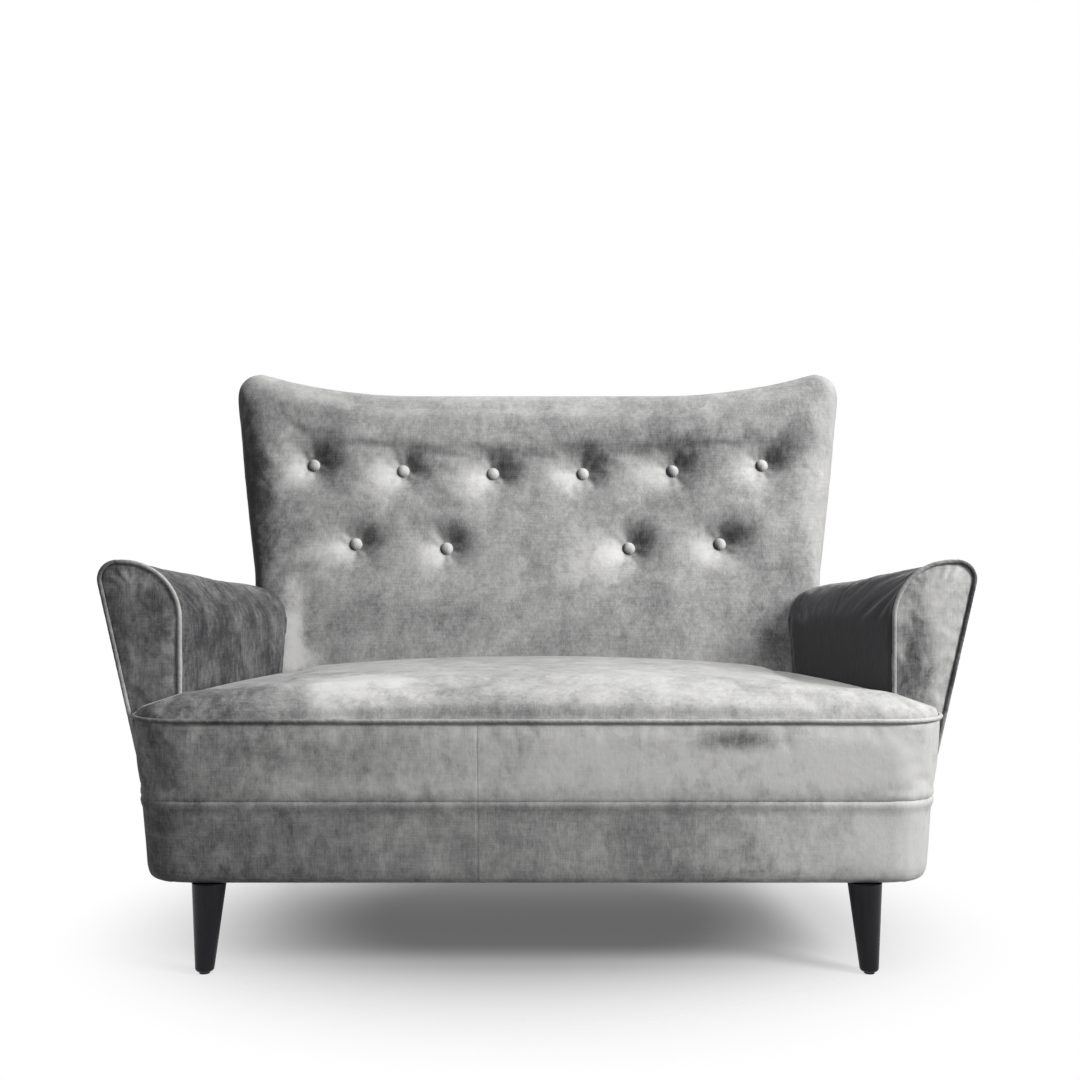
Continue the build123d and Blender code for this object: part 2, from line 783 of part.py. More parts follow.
# Seat: foam, crowned cover, front border and the piping sewn between them
piping_plane = Plane.XY.offset(piping_level)
piping_half = nose_half + piping_stand
piping_front = nose_front - piping_stand
with BuildLine(piping_plane) as seat_edge:
    FilletPolyline(
        (-piping_half, wing_rear),
        (-piping_half, piping_front),
        (piping_half, piping_front),
        (piping_half, wing_rear),
        radius=nose_corner + piping_stand,
    )
seat_path = seat_edge.wires()[0]
seat_groove = cord(seat_path, sewn_gap)
write(cord(seat_path, 0), "seat_piping")

with BuildPart() as seat_shell:
    add(seat_body(0))
    add(seat_body(velvet), mode=Mode.SUBTRACT)
    add(seat_groove, mode=Mode.SUBTRACT)

with BuildPart() as seat_cover:
    add(seat_shell.part)
    split(bisect_by=piping_plane, keep=Keep.TOP)
write(seat_cover.part, "seat_cover")

with BuildPart() as seat_front_border:
    add(seat_shell.part)
    split(bisect_by=piping_plane, keep=Keep.BOTTOM)
    split(bisect_by=Plane.XZ.offset(-wing_rear), keep=Keep.TOP)
write(seat_front_border.part, "seat_front_border")

with BuildPart() as seat_foam:
    add(seat_body(cover_inset))
    add(seat_groove, mode=Mode.SUBTRACT)
write(seat_foam.part, "seat_foam")

# Where the legs screw in and stand
leg_top = underside_height - dust_cover_thickness
right_leg_tops = {
    "front": (front_leg_spread / 2, nose_front + front_leg_setback),
    "rear": (rear_leg_spread / 2, base_rear - rear_leg_setback),
}
leg_tops = [(side * x, y) for x, y in right_leg_tops.values() for side in (-1, 1)]
leg_feet = [(x + leg_splay if x > 0 else x - leg_splay, y) for x, y in leg_tops]

# Seat box: velvet band turned in under the frame, wadding, and the cloth underneath
with BuildPart() as base_hollow:
    add(base_body(velvet, frame_bottom))
    split(bisect_by=Plane.XY.offset(deck - velvet), keep=Keep.BOTTOM)

with BuildPart() as base_band:
    add(base_body(0, underside_height))
    add(base_hollow.part, mode=Mode.SUBTRACT)
    with BuildSketch(Plane.XY.offset(underside_height)):
        add(base_outline(base_draw_in + lip_width))
    extrude(amount=velvet, mode=Mode.SUBTRACT)
    with BuildSketch(deck_plane):
        add(base_outline(top_turn))
    extrude(amount=-velvet, mode=Mode.SUBTRACT)
    with Locations(*[(x, y, underside_height) for x, y in leg_tops]):
        Cylinder(insert_diameter / 2 + fit, velvet + bolt_in_block, align=from_front, mode=Mode.SUBTRACT)
write(base_band.part, "base_band")

with BuildPart() as box_wadding:
    add(base_body(cover_inset, frame_bottom))
    add(base_body(wadding_inset, frame_bottom), mode=Mode.SUBTRACT)
    split(bisect_by=Plane.XY.offset(underside_height + base_bottom_round), keep=Keep.TOP)
    split(bisect_by=Plane.XY.offset(deck - cover_inset), keep=Keep.BOTTOM)
write(box_wadding.part, "base_wadding")

# Legs: turned cones that lean out from the top, with ends cut level
leg_lean = Vector(-leg_splay, 0, leg_top - glide_height)  # from the foot to the top of a right leg
leg_widening = (leg_top_diameter - leg_foot_diameter) / 2 * leg_overrun / leg_lean.length

for end, (x, y) in right_leg_tops.items():
    low_end = Vector(x + leg_splay, y, glide_height) - leg_lean.normalized() * leg_overrun
    with BuildPart() as leg:
        with Locations(Plane(low_end, z_dir=leg_lean).location):
            Cone(
                leg_foot_diameter / 2 - leg_widening,
                leg_top_diameter / 2 + leg_widening,
                leg_lean.length + 2 * leg_overrun,
                align=from_front,
            )
        split(bisect_by=Plane.XY.offset(glide_height), keep=Keep.TOP)
        split(bisect_by=Plane.XY.offset(leg_top), keep=Keep.BOTTOM)
        fillet(leg.faces().sort_by(Axis.Z)[0].edges(), leg_foot_round)
        with Locations((x, y, leg_top - bolt_in_leg)):
            Cylinder(bolt_diameter / 2, 2 * bolt_in_leg, align=from_front, mode=Mode.SUBTRACT)
    write_pair(leg.part, f"{end}_leg")

with BuildPart() as leg_glides:
    with Locations(*leg_feet):
        Cylinder(glide_diameter / 2, glide_height, align=from_front)
write(leg_glides.part, "leg_glides")

with BuildPart() as hanger_bolts:
    with Locations(*[(x, y, leg_top - bolt_in_leg) for x, y in leg_tops]):
        bolt_length = bolt_in_leg + dust_cover_thickness + velvet + bolt_in_block
        Cylinder(bolt_diameter / 2, bolt_length, align=from_front)
write(hanger_bolts.part, "hanger_bolts")

insert_places = [(x, y, frame_bottom) for x, y in leg_tops]
with BuildPart() as leg_inserts:
    with Locations(*insert_places):
        Cylinder(insert_diameter / 2, bolt_in_block, align=from_front)
        Cylinder(bolt_diameter / 2 + fit, bolt_in_block, align=from_front, mode=Mode.SUBTRACT)
write(leg_inserts.part, "leg_inserts")

with BuildPart() as dust_cover:
    with BuildSketch(Plane.XY.offset(leg_top)):
        add(base_outline(base_draw_in + base_bottom_round))
        with Locations(*leg_tops):
            Circle(bolt_diameter / 2 + fit, mode=Mode.SUBTRACT)
    extrude(amount=dust_cover_thickness)
write(dust_cover.part, "dust_cover")

# Seat box frame: rails cut from one ring, and solid corner blocks that take the legs
with BuildPart() as frame_solid:
    add(base_body(frame_inset, frame_bottom))
    split(bisect_by=Plane.XY.offset(rail_top), keep=Keep.BOTTOM)

with BuildPart() as rail_ring:
    add(frame_solid.part)
    with BuildSketch(Plane.XY.offset(frame_bottom)):
        add(base_outline(frame_inset + rail_thickness))
    extrude(amount=seat_box_height, mode=Mode.SUBTRACT)
    add(dowel_holes, mode=Mode.SUBTRACT)

front_split = Plane.XZ.offset(-front_block_end)
rear_split = Plane.XZ.offset(-rear_block_end)


def end_rail(edge, cut, side):
    """The front or rear rail, between its corner blocks."""
    with BuildPart() as rail:
        add(rail_ring.part)
        split(bisect_by=cut, keep=side)
        split(bisect_by=Plane.YZ.offset(edge), keep=Keep.BOTTOM)
        split(bisect_by=Plane.YZ.offset(-edge), keep=Keep.TOP)
    return rail.part


write(end_rail(front_block_edge, front_split, Keep.TOP), "front_rail")
write(end_rail(rear_block_edge, rear_split, Keep.BOTTOM), "rear_rail")

with BuildPart() as side_rail:
    add(rail_ring.part)
    split(bisect_by=front_split, keep=Keep.BOTTOM)
    split(bisect_by=rear_split, keep=Keep.TOP)
    split(bisect_by=Plane.YZ, keep=Keep.TOP)
write_pair(side_rail.part, "side_rail")


def corner_block(edge, cut, side):
    """A right-hand corner block, with its inner upright edge taken off."""
    with BuildPart() as block:
        add(frame_solid.part)
        split(bisect_by=cut, keep=side)
        split(bisect_by=Plane.YZ.offset(edge), keep=Keep.TOP)
        inner_edges = block.edges().filter_by(Axis.Z).group_by(Axis.X)[0]
        chamfer(inner_edges.sort_by(Axis.Y)[-1 if side == Keep.TOP else 0], block_chamfer)
        add(dowel_holes, mode=Mode.SUBTRACT)
        with Locations(*insert_places):
            Cylinder(insert_diameter / 2 + fit, bolt_in_block, align=from_front, mode=Mode.SUBTRACT)
    return block.part


with BuildPart() as corner_blocks:
    add(corner_block(front_block_edge, front_split, Keep.TOP))
    add(corner_block(rear_block_edge, rear_split, Keep.BOTTOM))
    mirror(about=Plane.YZ)
write(corner_blocks.part, "corner_blocks")

inside_rails = frame_inset + rail_thickness + fit
with BuildPart() as centre_stretcher:
    with BuildSketch(Plane.XY.offset(frame_bottom)):
        add(base_outline(inside_rails))
        Rectangle(stretcher_width, overall_depth, mode=Mode.INTERSECT)
    extrude(amount=stretcher_height)
write(centre_stretcher.part, "centre_stretcher")

with BuildPart() as seat_back_rail:
    with BuildSketch(Plane.XY.offset(frame_bottom + stretcher_height)):
        add(base_outline(inside_rails))
        with Locations((0, face_foot)):
            Rectangle(nose_width, seat_back_rail_depth, align=(Align.CENTER, Align.MIN), mode=Mode.INTERSECT)
    extrude(amount=rail_top - frame_bottom - stretcher_height)
write(seat_back_rail.part, "seat_back_rail")

# Webbing over the rails, and the platform cloth that the foam lies on
strap_front = base_front + frame_inset + base_draw_in
strap_rear = face_foot + seat_back_rail_depth
with BuildPart() as seat_webbing_long:
    with BuildSketch(Plane.XY.offset(rail_top)):
        with Locations((0, (strap_front + strap_rear) / 2)):
            with GridLocations(long_strap_pitch, 0, long_straps, 1):
                Rectangle(strap_width, strap_rear - strap_front)
    extrude(amount=strap_thickness)
write(seat_webbing_long.part, "seat_webbing_long")

cross_pitch = (rear_board_front - front_board_rear) / cross_straps
with BuildPart() as seat_webbing_cross:
    with BuildSketch(Plane.XY.offset(rail_top + strap_thickness)):
        for number in range(cross_straps):
            y = front_board_rear + cross_pitch * (number + 0.5)
            with Locations((0, y)):
                Rectangle(2 * (base_half(y) - rail_middle), strap_width)
    extrude(amount=strap_thickness)
write(seat_webbing_cross.part, "seat_webbing_cross")

with BuildPart() as platform_cloth:
    with BuildSketch(Plane.XY.offset(deck - platform_thickness)):
        add(base_outline(top_turn + sewn_gap))
    extrude(amount=platform_thickness)
    add(dowel_holes, mode=Mode.SUBTRACT)
    for standing_piece in (arm_front_board, arm_rear_board, back_post.part):
        add(standing_piece, mode=Mode.SUBTRACT)
        add(mirror(standing_piece, about=Plane.YZ, mode=Mode.PRIVATE), mode=Mode.SUBTRACT)
write(platform_cloth.part, "platform_cloth")
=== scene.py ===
import bpy
import math
import numpy as np
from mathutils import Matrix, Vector


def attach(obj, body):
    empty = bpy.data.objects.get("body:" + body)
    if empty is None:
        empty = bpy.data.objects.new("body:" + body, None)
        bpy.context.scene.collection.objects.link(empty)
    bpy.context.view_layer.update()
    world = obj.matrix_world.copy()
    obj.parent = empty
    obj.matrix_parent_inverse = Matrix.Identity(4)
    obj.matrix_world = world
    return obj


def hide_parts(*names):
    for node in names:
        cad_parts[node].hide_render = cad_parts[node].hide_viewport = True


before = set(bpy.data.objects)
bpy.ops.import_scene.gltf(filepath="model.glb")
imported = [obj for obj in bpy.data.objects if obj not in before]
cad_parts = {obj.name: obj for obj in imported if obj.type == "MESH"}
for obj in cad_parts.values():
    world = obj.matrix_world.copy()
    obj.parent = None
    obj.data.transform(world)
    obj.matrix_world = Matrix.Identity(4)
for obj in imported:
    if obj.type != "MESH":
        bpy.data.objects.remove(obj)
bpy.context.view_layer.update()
print("frame loaded:", len(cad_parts), "nodes")


# small helpers for picking, copying and finishing pieces

weldDistance = 0.00005
waveCount = 5
clothSettings = {"quality": 4, "mass": 0.3, "stiffness": 15, "frames": 20}


def pickOnly(piece):
    if bpy.context.object and bpy.context.object.mode != "OBJECT":
        bpy.ops.object.mode_set(mode="OBJECT")
    bpy.ops.object.select_all(action="DESELECT")
    piece.select_set(True)
    bpy.context.view_layer.objects.active = piece


def copyOfNodes(name, *nodes):
    bpy.ops.object.select_all(action="DESELECT")
    for node in nodes:
        copied = bpy.data.objects.new(name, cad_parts[node].data.copy())
        bpy.context.scene.collection.objects.link(copied)
        copied.select_set(True)
        bpy.context.view_layer.objects.active = copied
    if len(nodes) > 1:
        bpy.ops.object.join()
    piece = bpy.context.object
    piece.name = name
    piece.data.materials.clear()
    bpy.ops.object.mode_set(mode="EDIT")
    bpy.ops.mesh.select_all(action="SELECT")
    bpy.ops.mesh.remove_doubles(threshold=weldDistance)
    bpy.ops.object.mode_set(mode="OBJECT")
    return piece


def addPlug(piece, low, high):  # a block that closes a hollow before the skin is made
    pickOnly(piece)
    low, high = Vector(low), Vector(high)
    bpy.ops.object.mode_set(mode="EDIT")
    bpy.ops.mesh.primitive_cube_add(size=1, location=(low + high) / 2, scale=high - low)
    bpy.ops.object.mode_set(mode="OBJECT")


def makeSkin(piece, voxel, smoothSteps):
    pickOnly(piece)
    piece.data.remesh_voxel_size = voxel
    bpy.ops.object.voxel_remesh()
    smoothOver(piece, smoothSteps)


def smoothOver(piece, steps, factor=0.5, group=""):
    pickOnly(piece)
    bpy.ops.object.modifier_add(type="SMOOTH")
    smooth = piece.modifiers[-1]
    smooth.factor = factor
    smooth.iterations = steps
    smooth.vertex_group = group
    bpy.ops.object.modifier_apply(modifier=smooth.name)


def subdivideOnce(piece):
    pickOnly(piece)
    bpy.ops.object.modifier_add(type="SUBSURF")
    finer = piece.modifiers[-1]
    finer.levels = 1
    finer.render_levels = 1
    bpy.ops.object.modifier_apply(modifier=finer.name)


def readPoints(piece):
    points = np.empty(len(piece.data.vertices) * 3)
    piece.data.vertices.foreach_get("co", points)
    return points.reshape(-1, 3)


def readNormals(piece):
    normals = np.empty(len(piece.data.vertices) * 3, dtype=np.float32)
    piece.data.vertex_normals.foreach_get("vector", normals)
    return normals.reshape(-1, 3).astype(float)


def writePoints(piece, points):
    piece.data.vertices.foreach_set("co", np.ascontiguousarray(points).ravel())
    piece.data.update()


def ramp(values, start, end):  # 0 before start, 1 after end, eased between
    t = np.clip((values - start) / (end - start), 0, 1)
    return t * t * (3 - 2 * t)


def waves(points, seed, size):  # a calm, repeatable ripple made of a few crossed waves
    total = np.zeros(len(points))
    for step in range(waveCount):
        turn = seed * 1.7 + step * 2.399
        lean = math.sin(seed * 3.1 + step * 1.9)
        way = np.array([math.cos(turn), math.sin(turn) * 0.8, lean])
        total += np.sin(points @ way * (2 * math.pi / size) * (0.7 + 0.23 * step) + seed * 5 + step * 1.3)
    return total / waveCount


def fillOut(piece, weight, amount):  # gives back the few millimetres that smoothing takes off an edge
    points, normals = readPoints(piece), readNormals(piece)
    writePoints(piece, points + normals * (weight(points, normals) * amount)[:, None])


def swell(piece, held, limit, settings):  # fills the cover: pressure inside, some spare cloth
    pickOnly(piece)
    start = readPoints(piece)
    group = piece.vertex_groups.new(name="held")
    group.add(np.flatnonzero(held).tolist(), 1.0, "REPLACE")
    bpy.ops.object.modifier_add(type="CLOTH")
    cloth = piece.modifiers[-1]
    cloth.settings.quality = clothSettings["quality"]
    cloth.settings.mass = clothSettings["mass"]
    cloth.settings.tension_stiffness = clothSettings["stiffness"]
    cloth.settings.compression_stiffness = clothSettings["stiffness"]
    cloth.settings.bending_stiffness = settings["bending"]
    cloth.settings.use_pressure = True
    cloth.settings.uniform_pressure_force = settings["pressure"]
    cloth.settings.shrink_min = -settings["spareCloth"]
    cloth.settings.effector_weights.gravity = 0
    cloth.settings.vertex_group_mass = "held"
    cloth.collision_settings.use_collision = False
    cloth.collision_settings.use_self_collision = False
    for step in range(1, clothSettings["frames"] + 1):
        bpy.context.scene.frame_set(step)
    bpy.ops.object.modifier_apply(modifier=cloth.name)
    bpy.context.scene.frame_set(1)
    move = readPoints(piece) - start
    length = np.linalg.norm(move, axis=1)
    move *= np.minimum(1, limit / np.maximum(length, 1e-9))[:, None]
    writePoints(piece, start + move)
    piece.vertex_groups.clear()


def cutInTwo(piece, name, point, normal):  # the new piece is the side that the normal points to
    pickOnly(piece)
    bpy.ops.object.duplicate()
    other = bpy.context.object
    other.name = name
    for half, inner in ((piece, False), (other, True)):
        pickOnly(half)
        bpy.ops.object.mode_set(mode="EDIT")
        bpy.ops.mesh.select_all(action="SELECT")
        bpy.ops.mesh.bisect(
            plane_co=point, plane_no=normal, use_fill=True, clear_inner=inner, clear_outer=not inner,
        )
        bpy.ops.object.mode_set(mode="OBJECT")
    return other


def scoreLine(piece, point, normal):  # an extra line of points along a seam, where a plane meets the piece
    pickOnly(piece)
    bpy.ops.object.mode_set(mode="EDIT")
    bpy.ops.mesh.select_all(action="SELECT")
    bpy.ops.mesh.bisect(plane_co=point, plane_no=normal)
    bpy.ops.object.mode_set(mode="OBJECT")


def finishPiece(piece, material, nodes):
    pickOnly(piece)
    bpy.ops.object.shade_smooth()
    piece.data.materials.clear()
    piece.data.materials.append(material)
    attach(piece, "root")
    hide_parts(*nodes)
    print("made", piece.name, len(piece.data.polygons), "faces")


# shader groups and materials

noiseRoughness = 0.6
noiseMean = 0.5


def newGroup(name, inputs, outputs):
    group = bpy.data.node_groups.new(name, "ShaderNodeTree")
    for label, kind, value in inputs:
        socket = group.interface.new_socket(name=label, in_out="INPUT", socket_type=kind)
        socket.default_value = value
    for label, kind in outputs:
        group.interface.new_socket(name=label, in_out="OUTPUT", socket_type=kind)
    entry = group.nodes.new("NodeGroupInput")
    leave = group.nodes.new("NodeGroupOutput")
    return group, entry, leave


def stretchedNoise(tree, coords, stretch, scale, detail, distortion):
    mapping = tree.nodes.new("ShaderNodeMapping")
    mapping.inputs["Scale"].default_value = stretch
    noise = tree.nodes.new("ShaderNodeTexNoise")
    noise.inputs["Scale"].default_value = scale
    noise.inputs["Detail"].default_value = detail
    noise.inputs["Roughness"].default_value = noiseRoughness
    noise.inputs["Distortion"].default_value = distortion
    tree.links.new(coords, mapping.inputs["Vector"])
    tree.links.new(mapping.outputs["Vector"], noise.inputs["Vector"])
    return noise.outputs["Fac"]


def mathNode(tree, operation, first, second):
    node = tree.nodes.new("ShaderNodeMath")
    node.operation = operation
    for socket, value in ((node.inputs[0], first), (node.inputs[1], second)):
        if isinstance(value, (int, float)):
            socket.default_value = value
        else:
            tree.links.new(value, socket)
    return node.outputs[0]


def rangeNode(tree, value, fromLow, fromHigh, toLow, toHigh):
    node = tree.nodes.new("ShaderNodeMapRange")
    node.interpolation_type = "SMOOTHSTEP"
    limits = {"From Min": fromLow, "From Max": fromHigh, "To Min": toLow, "To Max": toHigh}
    for label, number in limits.items():
        node.inputs[label].default_value = number
    tree.links.new(value, node.inputs["Value"])
    return node.outputs["Result"]


def weightedSum(tree, parts):
    total = None
    for value, weight in parts:
        scaled = mathNode(tree, "MULTIPLY", mathNode(tree, "SUBTRACT", value, noiseMean), weight)
        total = scaled if total is None else mathNode(tree, "ADD", total, scaled)
    return total


def vectorNode(tree, operation, first, second=None):
    node = tree.nodes.new("ShaderNodeVectorMath")
    node.operation = operation
    for socket, value in ((node.inputs[0], first), (node.inputs[1], second)):
        if isinstance(value, tuple):
            socket.default_value = value
        elif value is not None:
            tree.links.new(value, socket)
    return node.outputs["Value" if operation in ("DOT_PRODUCT", "LENGTH") else "Vector"]


def ovalReach(tree, coords, centre, spread):  # 0 at the middle of an oval, 1 at its edge
    away = vectorNode(tree, "SUBTRACT", coords, centre)
    return vectorNode(tree, "LENGTH", vectorNode(tree, "DIVIDE", away, spread))


def blendColours(tree, entry, leave, share):  # from the group's dark colour to its light one
    blend = tree.nodes.new("ShaderNodeMix")
    blend.data_type = "RGBA"
    tree.links.new(share, blend.inputs["Factor"])
    tree.links.new(entry.outputs["Dark"], blend.inputs[6])
    tree.links.new(entry.outputs["Light"], blend.inputs[7])
    tree.links.new(blend.outputs[2], leave.inputs["Color"])


colourInputs = [
    ("Dark", "NodeSocketColor", (0.1, 0.1, 0.1, 1)),
    ("Light", "NodeSocketColor", (0.5, 0.5, 0.5, 1)),
]
finishOutputs = [
    ("Color", "NodeSocketColor"),
    ("Roughness", "NodeSocketFloat"),
    ("Height", "NodeSocketFloat"),
]

# crushed velvet: patches of pile lying different ways, hairline threads and fine speckle, with painted
# light and shade set by which way the cover faces
velvetSettings = {
    "dark": (0.042, 0.0405, 0.044, 1),
    "light": (0.66, 0.656, 0.646, 1),
    # lean: the way towards the key light, up and to the right; covers facing it are painted lighter, covers
    # facing away painted darker
    "lean": (0.90, 0.0, 0.43),
    "pileAndShadeRange": (-0.85, 0.85),
    "roughness": (0.82, 0.55),
    "bump": 0.4,
    "bumpDistance": 0.004,
    "sheen": 0.25,
    "sheenRoughness": 0.3,
    "sheenTint": (0.95, 0.95, 0.97, 1),
    "specular": 0.12,
}
velvetNoises = {  # stretch, scale, detail and distortion
    "broad": ((1, 1, 0.8), 7, 3, 0.35),
    "cloudy": ((1, 1, 0.7), 24, 7, 0.4),
    "crushed": ((1, 1, 0.7), 110, 5, 0.3),
    "upThreads": ((1, 1, 0.045), 520, 2, 0),
    "sideThreads": ((0.045, 0.045, 1), 520, 2, 0),
    "speckle": ((1, 1, 1), 1100, 2, 0),
}
velvetShares = {
    "patches": {"broad": 0.85, "cloudy": 1.0, "crushed": 0.7},
    "threads": {"upThreads": 0.36, "sideThreads": 0.26, "speckle": 0.50},
    "height": {"cloudy": 0.9, "crushed": 0.28, "upThreads": 0.05, "sideThreads": 0.04, "speckle": 0.04},
}
velvetGroup, entry, leave = newGroup(
    "crushedVelvet",
    colourInputs + [
        ("Tone", "NodeSocketFloat", 0.0),
        ("Patches", "NodeSocketFloat", 1.0),
        ("Marks", "NodeSocketFloat", 0.0),
        ("PaintedLightWay", "NodeSocketVector", velvetSettings["lean"]),
        ("PaintedShadeSway", "NodeSocketFloat", 0.3),
    ],
    finishOutputs,
)
place = velvetGroup.nodes.new("ShaderNodeTexCoord")
noises = {
    name: stretchedNoise(velvetGroup, place.outputs["Object"], *values)
    for name, values in velvetNoises.items()
}
patches, threads, height = (
    weightedSum(velvetGroup, [(noises[name], share) for name, share in velvetShares[layer].items()])
    for layer in ("patches", "threads", "height")
)
pileAndShade = mathNode(velvetGroup, "MULTIPLY", patches, entry.outputs["Patches"])
pileAndShade = mathNode(velvetGroup, "ADD", pileAndShade, threads)
toneAndMarks = mathNode(velvetGroup, "ADD", entry.outputs["Tone"], entry.outputs["Marks"])
pileAndShade = mathNode(velvetGroup, "ADD", pileAndShade, toneAndMarks)
# painted light and shade: a cover facing up and to the right, towards the key light, is painted lighter,
# and a cover facing away is painted darker
tilt = vectorNode(velvetGroup, "DOT_PRODUCT", place.outputs["Normal"], entry.outputs["PaintedLightWay"])
pileAndShade = mathNode(velvetGroup, "ADD", pileAndShade, mathNode(velvetGroup, "MULTIPLY", tilt, entry.outputs["PaintedShadeSway"]))
pileAndShade = rangeNode(velvetGroup, pileAndShade, *velvetSettings["pileAndShadeRange"], 0, 1)
blendColours(velvetGroup, entry, leave, pileAndShade)
roughness = rangeNode(velvetGroup, pileAndShade, 0, 1, *velvetSettings["roughness"])
velvetGroup.links.new(roughness, leave.inputs["Roughness"])
velvetGroup.links.new(mathNode(velvetGroup, "ADD", height, noiseMean), leave.inputs["Height"])

# an oval mark, soft and broken up by the pile: most marks paint light and shade, and a few are patches
# where the pile lies another way
markSettings = {"noise": ((1, 1, 0.8), 38, 6, 0.5), "raggedness": 1.5, "edge": (-0.1, 1.25)}
markGroup, entry, leave = newGroup(
    "lightShadeAndPileMark",
    [
        ("Centre", "NodeSocketVector", (0, 0, 0)),
        ("Spread", "NodeSocketVector", (0.1, 0.1, 0.1)),
        ("Strength", "NodeSocketFloat", 0.5),
        ("Ragged", "NodeSocketFloat", 0.5),
    ],
    [("Mark", "NodeSocketFloat")],
)
coords = markGroup.nodes.new("ShaderNodeTexCoord").outputs["Object"]
reach = ovalReach(markGroup, coords, entry.outputs["Centre"], entry.outputs["Spread"])
ragged = weightedSum(markGroup, [(entry.outputs["Ragged"], markSettings["raggedness"])])
mask = rangeNode(markGroup, mathNode(markGroup, "ADD", reach, ragged), *markSettings["edge"], 1, 0)
markGroup.links.new(mathNode(markGroup, "MULTIPLY", mask, entry.outputs["Strength"]), leave.inputs["Mark"])


def makeVelvet(name, tone, paintedShadeSway=0.3, patchAmount=1.0, marks=()):
    material = bpy.data.materials.new(name)
    material.use_nodes = True
    tree = material.node_tree
    shader = tree.nodes["Principled BSDF"]
    velvet = tree.nodes.new("ShaderNodeGroup")
    velvet.node_tree = velvetGroup
    velvet.inputs["Dark"].default_value = velvetSettings["dark"]
    velvet.inputs["Light"].default_value = velvetSettings["light"]
    velvet.inputs["Tone"].default_value = tone
    velvet.inputs["PaintedShadeSway"].default_value = paintedShadeSway
    velvet.inputs["Patches"].default_value = patchAmount
    total = None
    if marks:
        coords = tree.nodes.new("ShaderNodeTexCoord").outputs["Object"]
        ragged = stretchedNoise(tree, coords, *markSettings["noise"])
    for centre, spread, strength in marks:
        mark = tree.nodes.new("ShaderNodeGroup")
        mark.node_tree = markGroup
        mark.inputs["Centre"].default_value = centre
        mark.inputs["Spread"].default_value = spread
        mark.inputs["Strength"].default_value = strength
        tree.links.new(ragged, mark.inputs["Ragged"])
        added = mark.outputs["Mark"]
        total = added if total is None else mathNode(tree, "ADD", total, added)
    if total is not None:
        tree.links.new(total, velvet.inputs["Marks"])
    bump = tree.nodes.new("ShaderNodeBump")
    bump.inputs["Strength"].default_value = velvetSettings["bump"]
    bump.inputs["Distance"].default_value = velvetSettings["bumpDistance"]
    tree.links.new(velvet.outputs["Height"], bump.inputs["Height"])
    tree.links.new(bump.outputs["Normal"], shader.inputs["Normal"])
    tree.links.new(velvet.outputs["Color"], shader.inputs["Base Color"])
    tree.links.new(velvet.outputs["Roughness"], shader.inputs["Roughness"])
    shader.inputs["Specular IOR Level"].default_value = velvetSettings["specular"]
    shader.inputs["Sheen Weight"].default_value = velvetSettings["sheen"]
    shader.inputs["Sheen Roughness"].default_value = velvetSettings["sheenRoughness"]
    shader.inputs["Sheen Tint"].default_value = velvetSettings["sheenTint"]
    return material


# wood grain along the piece, with pores
grainSettings = {
    "rings": ((1, 1, 1), 70, 4, 1.5),
    "pores": ((1, 1, 1), 420, 3, 0.2),
    "ringShare": 0.7,
    "poreShare": 0.3,
    "colourRange": (0.35, 0.65),
    "roughRange": (0.3, 0.7),
    "roughness": (0.5, 0.34),
}
grainGroup, entry, leave = newGroup(
    "woodGrain", colourInputs + [("Along", "NodeSocketVector", (1, 1, 0.06))], finishOutputs,
)
coords = grainGroup.nodes.new("ShaderNodeTexCoord").outputs["Object"]
along = vectorNode(grainGroup, "MULTIPLY", coords, entry.outputs["Along"])
rings = stretchedNoise(grainGroup, along, *grainSettings["rings"])
pores = stretchedNoise(grainGroup, along, *grainSettings["pores"])
rings = mathNode(grainGroup, "MULTIPLY", rings, grainSettings["ringShare"])
pores = mathNode(grainGroup, "MULTIPLY", pores, grainSettings["poreShare"])
figure = mathNode(grainGroup, "ADD", rings, pores)
blendColours(grainGroup, entry, leave, rangeNode(grainGroup, figure, *grainSettings["colourRange"], 0, 1))
roughness = rangeNode(grainGroup, figure, *grainSettings["roughRange"], *grainSettings["roughness"])
grainGroup.links.new(roughness, leave.inputs["Roughness"])
grainGroup.links.new(figure, leave.inputs["Height"])

# woven or felted cloths inside: crossed threads with loose fibre
weaveSettings = {
    "distortion": 1.2,
    "detail": 2,
    "fibre": ((1, 1, 1), 240, 4, 0.5),
    "threadShare": 0.5,
    "fibreShare": 0.5,
    "roughness": (0.95, 0.75),
}
weaveGroup, entry, leave = newGroup(
    "plainWeave", colourInputs + [("Count", "NodeSocketFloat", 400.0)], finishOutputs,
)
coords = weaveGroup.nodes.new("ShaderNodeTexCoord").outputs["Object"]
crossing = []
for direction in ("X", "Y"):
    bands = weaveGroup.nodes.new("ShaderNodeTexWave")
    bands.bands_direction = direction
    bands.inputs["Distortion"].default_value = weaveSettings["distortion"]
    bands.inputs["Detail"].default_value = weaveSettings["detail"]
    weaveGroup.links.new(coords, bands.inputs["Vector"])
    weaveGroup.links.new(entry.outputs["Count"], bands.inputs["Scale"])
    crossing.append(bands.outputs["Fac"])
crossed = mathNode(weaveGroup, "MULTIPLY", *crossing)
fibre = stretchedNoise(weaveGroup, coords, *weaveSettings["fibre"])
crossed = mathNode(weaveGroup, "MULTIPLY", crossed, weaveSettings["threadShare"])
fibre = mathNode(weaveGroup, "MULTIPLY", fibre, weaveSettings["fibreShare"])
mixed = mathNode(weaveGroup, "ADD", crossed, fibre)
blendColours(weaveGroup, entry, leave, mixed)
roughness = rangeNode(weaveGroup, mixed, 0, 1, *weaveSettings["roughness"])
weaveGroup.links.new(roughness, leave.inputs["Roughness"])
weaveGroup.links.new(mixed, leave.inputs["Height"])


